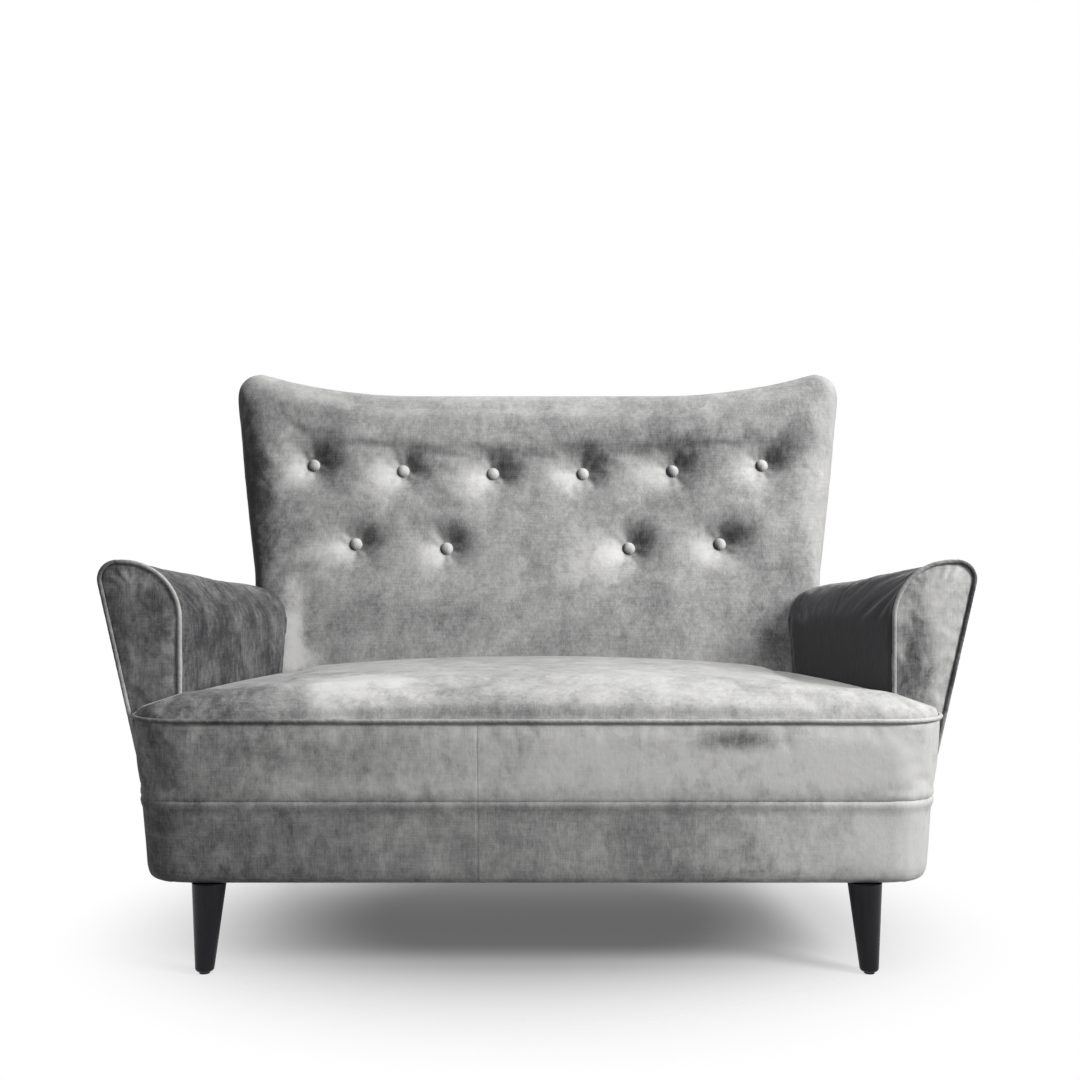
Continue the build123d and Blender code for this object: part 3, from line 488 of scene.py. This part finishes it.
def makeFinish(name, group, dark, light, bumpDistance, bumpStrength=0.3, extra=None, gloss=0.4, metal=0.0):
    material = bpy.data.materials.new(name)
    material.use_nodes = True
    tree = material.node_tree
    shader = tree.nodes["Principled BSDF"]
    finish = tree.nodes.new("ShaderNodeGroup")
    finish.node_tree = group
    finish.inputs["Dark"].default_value = dark
    finish.inputs["Light"].default_value = light
    for label, value in (extra or {}).items():
        finish.inputs[label].default_value = value
    bump = tree.nodes.new("ShaderNodeBump")
    bump.inputs["Strength"].default_value = bumpStrength
    bump.inputs["Distance"].default_value = bumpDistance
    tree.links.new(finish.outputs["Height"], bump.inputs["Height"])
    tree.links.new(bump.outputs["Normal"], shader.inputs["Normal"])
    tree.links.new(finish.outputs["Color"], shader.inputs["Base Color"])
    tree.links.new(finish.outputs["Roughness"], shader.inputs["Roughness"])
    shader.inputs["Specular IOR Level"].default_value = gloss
    shader.inputs["Metallic"].default_value = metal
    return material


# the frame and the linings keep their solids and get their finishes
nodeFinishes = [
    (
        makeFinish(
            "stainedLeg", grainGroup, (0.004, 0.004, 0.006, 1), (0.010, 0.010, 0.014, 1), 0.0004,
            gloss=0.22,
        ),
        ["left_front_leg", "right_front_leg", "left_rear_leg", "right_rear_leg"],
    ),
    (
        makeFinish(
            "paleFrameWood", grainGroup, (0.36, 0.22, 0.11, 1), (0.58, 0.40, 0.23, 1), 0.0004,
            extra={"Along": (0.06, 1, 1)},
        ),
        [
            "front_rail", "rear_rail", "left_side_rail", "right_side_rail", "centre_stretcher",
            "corner_blocks", "crest_rail", "left_back_post", "right_back_post", "upper_button_rail",
            "lower_button_rail", "lumbar_rail", "seat_back_rail", "left_arm_front_board",
            "right_arm_front_board", "left_arm_rear_board", "right_arm_rear_board", "frame_dowels",
            "left_arm_tack_rail", "right_arm_tack_rail", "left_arm_top_rail", "right_arm_top_rail",
        ],
    ),
    (
        makeFinish(
            "juteWebbing", weaveGroup, (0.16, 0.11, 0.06, 1), (0.42, 0.32, 0.19, 1), 0.0008,
            extra={"Count": 300.0},
        ),
        ["seat_webbing_cross", "seat_webbing_long"],
    ),
    (
        makeFinish(
            "blackLining", weaveGroup, (0.012, 0.012, 0.013, 1), (0.045, 0.045, 0.048, 1), 0.0004,
            extra={"Count": 500.0},
        ),
        ["dust_cover", "platform_cloth", "back_cloth"],
    ),
    (
        makeFinish(
            "waxedTwine", weaveGroup, (0.30, 0.27, 0.20, 1), (0.62, 0.58, 0.48, 1), 0.0003,
            extra={"Count": 900.0},
        ),
        ["button_twines"],
    ),
    (
        makeFinish(
            "zincSteel", grainGroup, (0.42, 0.42, 0.43, 1), (0.58, 0.58, 0.60, 1), 0.0001,
            metal=1.0,
        ),
        ["hanger_bolts", "leg_inserts", "twine_washers"],
    ),
    (
        makeFinish(
            "feltGlide", weaveGroup, (0.012, 0.012, 0.013, 1), (0.05, 0.05, 0.052, 1), 0.0002,
            extra={"Count": 700.0},
        ),
        ["leg_glides"],
    ),
]
for material, nodes in nodeFinishes:
    for node in nodes:
        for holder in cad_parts[node].material_slots:
            holder.material = material
print("finishes given to the frame, legs and linings")


# back: one padded skin over the foam, held by its buttons, split at the rear seam

backSettings = {
    "voxel": 0.0065,
    "smoothSteps": 4,
    "pressure": 2.5,
    "spareCloth": 0.0,
    "bending": 1.5,
    "faceRise": 0.0065,
    "edgeRise": 0.002,
    "settleSteps": 4,
    "footPlug": ((-0.542, 0.097, 0.268), (0.542, 0.290, 0.288)),
    "faceFoot": 0.09255,
    "faceLean": (0.2487, 0.9686),
    "deck": 0.266,
    "seamPoint": (0, 0.2733, 0.266),
    "seamNormal": (0, 0.98902, -0.14781),
    "seamHold": 0.012,
    "footHold": 0.30,
    "armAcross": 0.45,
    "armTop": 0.60,
    "faceTurn": (0.55, 0.97),
    "rollTurn": 0.6,
    "rollSteps": 10,
    "foldHeight": 0.0014,
    "foldLimit": 0.10,
    "foldSlack": 0.03,
    "foldStart": (0.010, 0.022),
    "foldRim": 0.02,
    "foldFade": 0.025,
    "foldWaves": ((5, 0.6, 1.3), (8, 0.5, 2.1)),
}
buttonSettings = {
    "pitch": 0.176,
    "upperRise": 0.543,
    "lowerRise": 0.390,
    "bow": 0.018,
    "halfSpan": 0.440,
    "sunk": 0.020,
    "radius": 0.0125,
    "dome": 0.0075,
    "stand": 0.0015,
    "hold": 0.016,
    "segments": 68,
    "rings": 24,
    "underside": 0.55,
    "rimStart": 0.62,
    "puckers": 17,
    "puckerDepth": 0.025,
    "wobble": 0.0002,
    "wobbleCount": 3,
    "wobbleShift": 0.7,
}


def buttonPlaces(row):
    count, rise = (6, buttonSettings["upperRise"]) if row == "upper" else (4, buttonSettings["lowerRise"])
    places = []
    for number in range(count):
        if row == "upper":
            across = (number - 2.5) * buttonSettings["pitch"]
        else:
            across = (-2, -1, 1, 2)[number] * buttonSettings["pitch"]
        up = rise + buttonSettings["bow"] * (across / buttonSettings["halfSpan"]) ** 2
        lean, climb = backSettings["faceLean"]
        places.append(Vector((
            across,
            backSettings["faceFoot"] + lean * up + climb * buttonSettings["sunk"],
            backSettings["deck"] + climb * up - lean * buttonSettings["sunk"],
        )))
    return places


def makeBack():
    sets = backSettings
    back = copyOfNodes(
        "backPad", "inside_back_cover", "outside_back_cover", "back_foam", "outside_back_wadding",
    )
    addPlug(back, *sets["footPlug"])
    makeSkin(back, sets["voxel"], sets["smoothSteps"])
    points, normals = readPoints(back), readNormals(back)
    lean, climb = sets["faceLean"]
    facing = ramp(-normals[:, 1] * climb + normals[:, 2] * lean, *sets["faceTurn"])
    behind = (points - np.array(sets["seamPoint"])) @ np.array(sets["seamNormal"])
    underArm = (np.abs(points[:, 0]) > sets["armAcross"]) & (points[:, 2] < sets["armTop"])
    held = (behind > -sets["seamHold"]) | (points[:, 2] < sets["footHold"]) | underArm
    for place in buttonPlaces("upper") + buttonPlaces("lower"):
        held |= np.linalg.norm(points - np.array(place), axis=1) < buttonSettings["hold"]
    limit = sets["edgeRise"] + (sets["faceRise"] - sets["edgeRise"]) * facing
    swell(back, held, limit, sets)
    smoothOver(back, sets["settleSteps"])
    roll = back.vertex_groups.new(name="roll")
    roll.add(np.flatnonzero((facing < sets["rollTurn"]) & (behind < 0)).tolist(), 1.0, "REPLACE")
    smoothOver(back, sets["rollSteps"], group="roll")
    back.vertex_groups.clear()
    subdivideOnce(back)
    outside = cutInTwo(back, "outsideBack", sets["seamPoint"], sets["seamNormal"])
    # short folds that run in to each button
    points = readPoints(back)
    inward = np.array((0, climb, -lean))
    for number, place in enumerate(buttonPlaces("upper") + buttonPlaces("lower")):
        away = points - np.array(place)
        across, up = away[:, 0], away[:, 2] * climb + away[:, 1] * lean
        reach = np.hypot(across, up)
        turn = np.arctan2(up, across)
        near = (reach < sets["foldLimit"]) & (away @ inward < sets["foldSlack"])
        beyond = np.maximum(reach - sets["foldRim"], 0)
        fade = ramp(reach, *sets["foldStart"]) * np.exp(-beyond / sets["foldFade"])
        fold = 0
        for count, share, shift in sets["foldWaves"]:
            fold = fold + np.cos(turn * count + number * shift) * share
        points[near] += (fold * fade * sets["foldHeight"])[near, None] * inward
    writePoints(back, points)
    return back, outside


backPad, outsideBack = makeBack()


# seat: a T-shaped cushion with a crowned top, a rolled front and a border under the piping

seatSettings = {
    "voxel": 0.007,
    "smoothSteps": 4,
    "pressure": 4.0,
    "spareCloth": 0.012,
    "bending": 0.8,
    "topRise": 0.009,
    "frontRise": 0.005,
    "pipingLevel": 0.389,
    "wingRear": -0.3026,
    "edgeFill": 0.0028,
    "lowerEdge": (0.284, 0.272),
    "frontEdge": (-0.28, -0.32),
    "armAcross": 0.425,
    "armFront": -0.30,
    "pipingHold": 0.005,
    "wingHold": 0.01,
    "footHold": 0.275,
    "rearHold": 0.10,
    "topTurn": (0.3, 0.9),
    "settleSteps": 2,
    "endSlope": (
        (0.47, 0.060), (0.538, 0.037), (0.561, 0.030), (0.587, 0.021), (0.611, 0.013), (0.622, 0.006),
    ),
    "slopeFront": (-0.22, -0.30),
    "slopeAcross": (0.45, 0.50),
    "slopeSteps": 3,
    "borderRear": 0.004,
    "joinAcross": -0.089,
    "joinDepth": 0.0009,
    "joinHalf": 0.0022,
    "joinReach": 0.0004,
    "joinTurn": -0.3,
}


def makeSeat():
    sets = seatSettings
    seat = copyOfNodes("seatTop", "seat_cover", "seat_front_border", "seat_foam")
    makeSkin(seat, sets["voxel"], sets["smoothSteps"])
    fillOut(
        seat, lambda at, out: ramp(at[:, 2], *sets["lowerEdge"]) * ramp(at[:, 1], *sets["frontEdge"]),
        sets["edgeFill"],
    )
    points, normals = readPoints(seat), readNormals(seat)
    underArm = (np.abs(points[:, 0]) > sets["armAcross"]) & (points[:, 1] > sets["armFront"])
    onPiping = np.abs(points[:, 2] - sets["pipingLevel"]) < sets["pipingHold"]
    onPiping &= points[:, 1] < sets["wingRear"] + sets["wingHold"]
    held = (points[:, 2] < sets["footHold"]) | onPiping | underArm | (points[:, 1] > sets["rearHold"])
    rise = ramp(normals[:, 2], *sets["topTurn"])
    limit = sets["frontRise"] + (sets["topRise"] - sets["frontRise"]) * rise
    swell(seat, held, limit, sets)
    smoothOver(seat, sets["settleSteps"])
    subdivideOnce(seat)
    # the wings of the seat slope down to the piping at their ends
    points = readPoints(seat)
    across, tops = zip(*sets["endSlope"])
    allowed = np.interp(np.abs(points[:, 0]), across, tops)
    over = points[:, 2] - sets["pipingLevel"] - allowed
    inFront = ramp(points[:, 1], *sets["slopeFront"]) * ramp(np.abs(points[:, 0]), *sets["slopeAcross"])
    points[:, 2] -= np.maximum(over, 0) * inFront
    writePoints(seat, points)
    smoothOver(seat, sets["slopeSteps"])
    border = cutInTwo(seat, "frontBorder", (0, 0, sets["pipingLevel"]), (0, 0, -1))
    body = cutInTwo(border, "seatBody", (0, sets["wingRear"] + sets["borderRear"], 0), (0, 1, 0))
    pickOnly(seat)
    body.select_set(True)
    bpy.ops.object.join()
    # the join in the border cloth
    for offset in (-sets["joinHalf"], 0, sets["joinHalf"]):
        scoreLine(border, (sets["joinAcross"] + offset, 0, 0), (1, 0, 0))
    points, normals = readPoints(border), readNormals(border)
    onJoin = np.abs(points[:, 0] - sets["joinAcross"]) < sets["joinReach"]
    onJoin &= normals[:, 1] < sets["joinTurn"]
    points[onJoin] -= normals[onJoin] * sets["joinDepth"]
    writePoints(border, points)
    return seat, border


seatTop, frontBorder = makeSeat()


# arms: a padded wing each side with a flat front panel sewn in behind the piping

armSettings = {
    "voxel": 0.0055,
    "smoothSteps": 4,
    "pressure": 4.0,
    "spareCloth": 0.01,
    "bending": 0.8,
    "sideRise": 0.004,
    "panelRise": 0.0035,
    "panelFront": -0.2946,
    "panelDepth": 0.006,
    "frontEdge": (-0.272, -0.290),
    "edgeTurn": (0.95, 0.6),
    "edgeFill": 0.0035,
    "pipingHold": 0.010,
    "pipingTurn": -0.85,
    "panelTurn": -0.6,
    "footHold": 0.285,
    "backSlope": 0.2568,
    "backHold": 0.015,
    "settleSteps": 2,
    "creaseHeight": 0.0011,
    "creaseCount": 18,
    "creaseShift": 0.8,
    "creaseShares": (0.6, 0.4),
    "creaseSlow": (5, 1),
    "creaseDrop": 0.055,
    "creaseStart": (0.025, 0.042),
    "creaseEnd": (0.062, 0.052),
    "creaseTop": (-0.005, 0.02),
    "creaseTurn": (0.5, 0.8),
}


def makeArm(side):
    sets = armSettings
    arm = copyOfNodes(
        side + "Arm",
        side + "_inside_arm_cover", side + "_outside_arm_cover",
        side + "_arm_front_panel", side + "_arm_foam",
        side + "_arm_front_board", side + "_arm_rear_board",
        side + "_arm_top_rail", side + "_arm_tack_rail",
    )
    makeSkin(arm, sets["voxel"], sets["smoothSteps"])
    fillOut(
        arm, lambda at, out: ramp(at[:, 1], *sets["frontEdge"]) * ramp(-out[:, 1], *sets["edgeTurn"]),
        sets["edgeFill"],
    )
    points, normals = readPoints(arm), readNormals(arm)
    onPiping = points[:, 1] < sets["panelFront"] + sets["pipingHold"]
    onPiping &= normals[:, 1] > sets["pipingTurn"]
    backFace = backSettings["faceFoot"] + sets["backSlope"] * (points[:, 2] - backSettings["deck"])
    held = (points[:, 2] < sets["footHold"]) | onPiping | (points[:, 1] > backFace - sets["backHold"])
    limit = np.where(normals[:, 1] < sets["panelTurn"], sets["panelRise"], sets["sideRise"])
    swell(arm, held, limit, sets)
    smoothOver(arm, sets["settleSteps"])
    subdivideOnce(arm)
    seam = sets["panelFront"] + sets["panelDepth"]
    panel = cutInTwo(arm, side + "ArmPanel", (0, seam, 0), (0, -1, 0))
    # short creases where the panel cloth is eased round the top
    points, normals = readPoints(panel), readNormals(panel)
    low, high = points.min(axis=0), points.max(axis=0)
    middle = np.array(((low[0] + high[0]) / 2, high[2] - sets["creaseDrop"]))
    away = points[:, [0, 2]] - middle
    reach, turn = np.hypot(away[:, 0], away[:, 1]), np.arctan2(away[:, 1], away[:, 0])
    fade = ramp(reach, *sets["creaseStart"]) * ramp(reach, *sets["creaseEnd"])
    fade = fade * ramp(away[:, 1], *sets["creaseTop"])
    even, uneven = sets["creaseShares"]
    slowCount, slowShift = sets["creaseSlow"]
    crease = np.cos(turn * sets["creaseCount"] + sets["creaseShift"])
    crease = crease * (even + uneven * np.cos(turn * slowCount + slowShift))
    points[:, 1] += crease * fade * ramp(-normals[:, 1], *sets["creaseTurn"]) * sets["creaseHeight"]
    writePoints(panel, points)
    return arm, panel


leftArm, leftArmPanel = makeArm("left")
rightArm, rightArmPanel = makeArm("right")


# base: the velvet band round the frame, drawn in under the seat and soft along its lower edge

baseSettings = {
    "voxel": 0.006,
    "smoothSteps": 3,
    "plug": ((-0.53, -0.36, 0.145), (0.53, 0.27, 0.262)),
    "ripple": 0.0012,
    "rippleSize": 0.21,
    "rippleSeed": 2.0,
    "rippleTurn": (0.7, 0.2),
    "rippleTop": (0.262, 0.245),
    "upperEdge": (0.248, 0.260),
    "edgeFill": 0.0028,
    "footTurn": (0.3, 0.8),
    "footEdge": (0.17, 0.15),
    "footFill": 0.0022,
    "joinAcross": -0.089,
    "joinDepth": 0.0009,
    "joinHalf": 0.003,
    "joinReach": 0.0004,
    "joinTurn": -0.3,
}


def makeBase():
    sets = baseSettings
    base = copyOfNodes("baseBand", "base_band", "base_wadding")
    addPlug(base, *sets["plug"])
    makeSkin(base, sets["voxel"], sets["smoothSteps"])
    fillOut(base, lambda at, out: ramp(at[:, 2], *sets["upperEdge"]), sets["edgeFill"])
    fillOut(
        base, lambda at, out: ramp(-out[:, 2], *sets["footTurn"]) * ramp(at[:, 2], *sets["footEdge"]),
        sets["footFill"],
    )
    for offset in (-sets["joinHalf"], 0, sets["joinHalf"]):
        scoreLine(base, (sets["joinAcross"] + offset, 0, 0), (1, 0, 0))
    points, normals = readPoints(base), readNormals(base)
    upright = ramp(np.abs(normals[:, 2]), *sets["rippleTurn"]) * ramp(points[:, 2], *sets["rippleTop"])
    ripple = waves(points, sets["rippleSeed"], sets["rippleSize"]) * upright * sets["ripple"]
    points += normals * ripple[:, None]
    onJoin = np.abs(points[:, 0] - sets["joinAcross"]) < sets["joinReach"]
    onJoin &= normals[:, 1] < sets["joinTurn"]
    points[onJoin] -= normals[onJoin] * sets["joinDepth"]
    writePoints(base, points)
    return base


baseBand = makeBase()


# piping: the CAD cords with the small puckers that a cover gets when it is sewn round a cord

pipingSettings = {
    "voxel": 0.0013,
    "smoothSteps": 3,
    "pucker": 0.00014,
    "puckerPitch": 0.011,
    "puckerShare": 0.6,
    "waveSeed": 4.0,
    "waveSize": 0.03,
}


def makePiping(name, node):
    sets = pipingSettings
    piping = copyOfNodes(name, node)
    makeSkin(piping, sets["voxel"], sets["smoothSteps"])
    points, normals = readPoints(piping), readNormals(piping)
    along = points[:, 0] + points[:, 2] + points[:, 1]
    pucker = np.sin(along * 2 * math.pi / sets["puckerPitch"]) * sets["puckerShare"]
    pucker += waves(points, sets["waveSeed"], sets["waveSize"])
    writePoints(piping, points + normals * (pucker * sets["pucker"])[:, None])
    return piping


seatPiping = makePiping("seatPiping", "seat_piping")
leftArmPiping = makePiping("leftArmPiping", "left_arm_piping")
rightArmPiping = makePiping("rightArmPiping", "right_arm_piping")


# buttons: a domed disc with the cloth gathered under its rim, made once and copied to each place

def makeButton():
    sets = buttonSettings
    bpy.ops.object.select_all(action="DESELECT")
    bpy.ops.mesh.primitive_uv_sphere_add(segments=sets["segments"], ring_count=sets["rings"], radius=1)
    button = bpy.context.object
    button.scale = (sets["radius"], sets["radius"], sets["dome"])
    bpy.ops.object.transform_apply(location=True, rotation=True, scale=True)
    points = readPoints(button)
    reach = np.hypot(points[:, 0], points[:, 1])
    turn = np.arctan2(points[:, 1], points[:, 0])
    low = points[:, 2] < 0
    points[low, 2] *= sets["underside"]
    rim = ramp(reach, sets["radius"] * sets["rimStart"], sets["radius"])
    gather = 1 + sets["puckerDepth"] * np.cos(turn * sets["puckers"]) * rim
    points[:, :2] *= gather[:, None]
    wobble = sets["wobble"] * np.cos(turn * sets["wobbleCount"] + sets["wobbleShift"]) * rim
    points[:, 2] += np.where(low, 0, wobble)
    writePoints(button, points)
    return button


def makeButtonRow(name, row, model):
    lean, climb = backSettings["faceLean"]
    tilt = math.atan2(climb, lean)
    copies = []
    for place in buttonPlaces(row):
        pickOnly(model)
        bpy.ops.object.duplicate()
        button = bpy.context.object
        button.rotation_euler = (tilt, 0, 0)
        button.location = place + Vector((0, -climb, lean)) * buttonSettings["stand"]
        bpy.ops.object.transform_apply(location=True, rotation=True, scale=True)
        copies.append(button)
    pickOnly(copies[0])
    for button in copies:
        button.select_set(True)
    bpy.ops.object.join()
    copies[0].name = name
    return copies[0]


buttonModel = makeButton()
upperButtons = makeButtonRow("upperButtons", "upper", buttonModel)
lowerButtons = makeButtonRow("lowerButtons", "lower", buttonModel)
bpy.data.objects.remove(buttonModel)


# finishes: the same velvet on every cover, each with its own tone for the way its pile lies and its own
# strength of painted light and shade a mark is its centre, its spread and its strength, light above 0 and
# dark below; most marks are painted light from the right and painted shade on the left

# painted light and shade on the back: right roll lighter, left roll darker, a light strip where it meets
# the left arm, darker beside the right arm and along the top; the small ones are patches of pile
backMarks = [
    ((0.60, 0.26, 0.76), (0.085, 0.3, 0.30), 0.08),
    ((-0.60, 0.20, 0.72), (0.120, 0.12, 0.36), -0.58),
    ((-0.62, 0.36, 0.70), (0.14, 0.13, 0.50), 0.40),
    ((-0.462, 0.13, 0.480), (0.028, 0.3, 0.11), 1.00),
    ((-0.445, 0.12, 0.430), (0.045, 0.3, 0.035), 0.50),
    ((0.46, 0.15, 0.47), (0.060, 0.3, 0.11), -0.35),
    ((0.20, 0.25, 0.85), (0.32, 0.3, 0.045), -0.22),
    ((-0.10, 0.27, 0.95), (0.50, 0.3, 0.035), 0.15),
    ((0.12, 0.17, 0.62), (0.11, 0.3, 0.07), 0.25),
    ((-0.20, 0.13, 0.52), (0.22, 0.3, 0.05), -0.15),
]
buttonLightAndShadeMarks = [  # beside each button: painted highlight at its left and painted shade at its right, as its dimple takes the light
    ((-0.036, 0, -0.010), (0.058, 0.2, 0.045), 0.30),
    ((0.028, 0, 0.018), (0.044, 0.2, 0.044), -0.30),
]
for place in buttonPlaces("upper") + buttonPlaces("lower"):
    for offset, spread, strength in buttonLightAndShadeMarks:
        backMarks.append((place + Vector(offset), spread, strength))
# painted light on the middle and right of the seat and painted shade at its left end; the first mark is a
# light patch of pile
seatMarks = [
    ((-0.275, -0.325, 0.42), (0.110, 0.085, 0.08), 0.95),
    ((0.22, -0.25, 0.42), (0.52, 0.22, 0.10), 0.32),
    ((-0.52, -0.34, 0.42), (0.19, 0.12, 0.08), -0.50),
]
# painted light on the right and middle of the border and painted shade at its left end; the dark mark at
# the right and the low light streak are patches of pile
borderMarks = [
    ((0.30, -0.39, 0.362), (0.085, 0.2, 0.024), -0.95),
    ((0.48, -0.40, 0.320), (0.28, 0.10, 0.11), 0.70),
    ((0.12, -0.39, 0.325), (0.36, 0.2, 0.12), 0.50),
    ((-0.25, -0.39, 0.290), (0.24, 0.2, 0.020), 0.22),
    ((-0.54, -0.36, 0.330), (0.22, 0.3, 0.12), -0.46),
]
# painted light on the right of the base and painted shade on its left
baseMarks = [
    ((0.54, -0.38, 0.210), (0.28, 0.10, 0.18), 0.80),
    ((-0.56, -0.30, 0.200), (0.30, 0.4, 0.14), -0.30),
]
# painted shade along the inner edge of the right panel, painted highlight at its outer edge and along the
# top of the left panel
panelMarks = {
    "left": [((-0.60, -0.29, 0.60), (0.07, 0.1, 0.025), 0.20)],
    "right": [
        ((0.590, -0.29, 0.47), (0.036, 0.1, 0.17), -0.60),
        ((0.645, -0.29, 0.50), (0.03, 0.1, 0.14), 0.20),
    ],
}
# painted shade towards the rear of each arm and a patch of painted light at the front of the left arm
armMarks = {
    "left": [
        ((-0.50, 0.05, 0.50), (0.10, 0.035, 0.12), -0.20),
        ((-0.52, -0.10, 0.48), (0.10, 0.05, 0.16), 0.12),
    ],
    "right": [((0.50, 0.10, 0.42), (0.10, 0.12, 0.12), -0.25)],
}
# painted shade down the arm piping
pipingMarks = {
    "left": [((-0.70, -0.29, 0.50), (0.085, 0.3, 0.33), -0.60)],
    "right": [((0.70, -0.29, 0.50), (0.085, 0.3, 0.33), -0.70)],
}
# painted shade at the left end of the seat piping and painted light at its right end
seatPipingMarks = [
    ((-0.50, -0.39, 0.389), (0.26, 0.3, 0.1), -0.45),
    ((0.56, -0.39, 0.389), (0.16, 0.3, 0.1), 0.20),
]
# tones: partly the way the pile lies, partly painted shade on the left pieces and the inside of the right
# arm, and painted light on the right panel
armTones = {
    "left": {"arm": -0.34, "paintedShadeSway": -0.22, "panel": -0.40, "piping": 0.04},
    "right": {"arm": -0.60, "paintedShadeSway": 0.66, "panel": 0.22, "piping": -0.08},
}
finishPiece(
    backPad, makeVelvet("backVelvet", tone=-0.16, paintedShadeSway=0.55, patchAmount=0.68, marks=backMarks),
    ["inside_back_cover", "back_foam"],
)
finishPiece(
    outsideBack, makeVelvet("outsideBackVelvet", tone=0.0),
    ["outside_back_cover", "outside_back_wadding"],
)
finishPiece(
    seatTop, makeVelvet("seatVelvet", tone=-0.02, patchAmount=0.85, marks=seatMarks),
    ["seat_cover", "seat_foam"],
)
finishPiece(
    frontBorder, makeVelvet("borderVelvet", tone=0.15, patchAmount=0.85, marks=borderMarks),
    ["seat_front_border"],
)
finishPiece(
    seatPiping, makeVelvet("seatPipingVelvet", tone=-0.02, patchAmount=0.7, marks=seatPipingMarks),
    ["seat_piping"],
)
finishPiece(
    baseBand, makeVelvet("baseVelvet", tone=-0.08, patchAmount=0.7, marks=baseMarks),
    ["base_band", "base_wadding"],
)
for side, arm, panel, piping in (
    ("left", leftArm, leftArmPanel, leftArmPiping),
    ("right", rightArm, rightArmPanel, rightArmPiping),
):
    tones = armTones[side]
    finishPiece(
        arm, makeVelvet(side + "ArmVelvet", tone=tones["arm"], paintedShadeSway=tones["paintedShadeSway"], marks=armMarks[side]),
        [side + "_inside_arm_cover", side + "_outside_arm_cover", side + "_arm_foam"],
    )
    finishPiece(
        panel, makeVelvet(side + "PanelVelvet", tone=tones["panel"], marks=panelMarks[side]),
        [side + "_arm_front_panel"],
    )
    finishPiece(
        piping,
        makeVelvet(side + "PipingVelvet", tone=tones["piping"], patchAmount=0.7, marks=pipingMarks[side]),
        [side + "_arm_piping"],
    )
# the button domes get strong painted light and shade by which way they face
buttonVelvet = makeVelvet("buttonVelvet", tone=-0.08, paintedShadeSway=1.3)
finishPiece(upperButtons, buttonVelvet, ["upper_row_buttons"])
finishPiece(lowerButtons, buttonVelvet, ["lower_row_buttons"])


# floor, light and camera

stageSettings = {
    "cameraAt": (0.0046, -2.405, 0.659),
    "lens": 45,
    "sensor": 36,
    "floorSize": 9,
    "floorColour": (0.53, 0.53, 0.53, 1),
    "floorGlow": 0.105,
    "key": ((2.2, -1.6, 1.8), (0.0, -0.1, 0.55), 0.9, 71),
    "fill": ((-1.6, -2.3, 1.2), (0, 0, 0.5), 1.6, 5),
    "top": ((0.3, -0.35, 2.6), (0, -0.1, 0.4), 2.0, 30),
    "rear": ((-0.9, 2.6, 1.5), (0, 0.2, 0.5), 1.8, 26),
    "ambient": 0.22,
    "shadowReach": (0.84, 0.74, 1),
    "shadowMiddle": (0, -0.04, 0),
    "shadowFade": (0.30, 1.0),
}


def seenDirectly(tree):  # 1 where the camera, a reflection or a clear pane sees the surface
    path = tree.nodes.new("ShaderNodeLightPath")
    seen = mathNode(tree, "MAXIMUM", path.outputs["Is Camera Ray"], path.outputs["Is Glossy Ray"])
    return mathNode(tree, "MAXIMUM", seen, path.outputs["Is Transmission Ray"])


def makeFloor():
    bpy.ops.object.select_all(action="DESELECT")
    bpy.ops.mesh.primitive_plane_add(size=stageSettings["floorSize"], location=(0, 0, 0))
    floor = bpy.context.object
    floor.name = "floor"
    material = bpy.data.materials.new("paleFloor")
    material.use_nodes = True
    tree = material.node_tree
    tree.nodes.remove(tree.nodes["Principled BSDF"])
    matt = tree.nodes.new("ShaderNodeBsdfDiffuse")
    matt.inputs["Color"].default_value = stageSettings["floorColour"]
    glow = tree.nodes.new("ShaderNodeEmission")
    glow.inputs["Color"].default_value = (1, 1, 1, 1)
    strength = mathNode(tree, "MULTIPLY", seenDirectly(tree), stageSettings["floorGlow"])
    tree.links.new(strength, glow.inputs["Strength"])
    both = tree.nodes.new("ShaderNodeAddShader")
    tree.links.new(matt.outputs[0], both.inputs[0])
    tree.links.new(glow.outputs[0], both.inputs[1])
    clear = tree.nodes.new("ShaderNodeBsdfTransparent")
    # the floor fades into the white round the shadow
    coords = tree.nodes.new("ShaderNodeTexCoord").outputs["Object"]
    reach = ovalReach(tree, coords, stageSettings["shadowMiddle"], stageSettings["shadowReach"])
    fade = tree.nodes.new("ShaderNodeMixShader")
    tree.links.new(rangeNode(tree, reach, *stageSettings["shadowFade"], 0, 1), fade.inputs[0])
    tree.links.new(both.outputs[0], fade.inputs[1])
    tree.links.new(clear.outputs[0], fade.inputs[2])
    tree.links.new(fade.outputs[0], tree.nodes["Material Output"].inputs["Surface"])
    floor.data.materials.append(material)


def makeLight(name):
    place, aim, size, power = stageSettings[name]
    bpy.ops.object.light_add(type="AREA", location=place)
    lamp = bpy.context.object
    lamp.name = name + "Light"
    lamp.data.shape = "DISK"
    lamp.data.size = size
    lamp.data.energy = power
    lamp.rotation_euler = (Vector(aim) - Vector(place)).to_track_quat("-Z", "Y").to_euler()
    lamp.visible_camera = False


def makeWorld():
    world = bpy.data.worlds.new("paleStudio")
    world.use_nodes = True
    bpy.context.scene.world = world
    tree = world.node_tree
    background = tree.nodes["Background"]
    background.inputs["Color"].default_value = (1, 1, 1, 1)
    strength = mathNode(tree, "MULTIPLY", seenDirectly(tree), 1 - stageSettings["ambient"])
    tree.links.new(mathNode(tree, "ADD", strength, stageSettings["ambient"]), background.inputs["Strength"])


makeFloor()
for lampName in ("key", "fill", "top", "rear"):
    makeLight(lampName)
makeWorld()
bpy.ops.object.camera_add(location=stageSettings["cameraAt"], rotation=(math.pi / 2, 0, 0))
camera = bpy.context.object
camera.data.lens = stageSettings["lens"]
camera.data.sensor_width = stageSettings["sensor"]
bpy.context.scene.camera = camera
bpy.context.scene.view_settings.view_transform = "Standard"
print("floor, light and camera set")
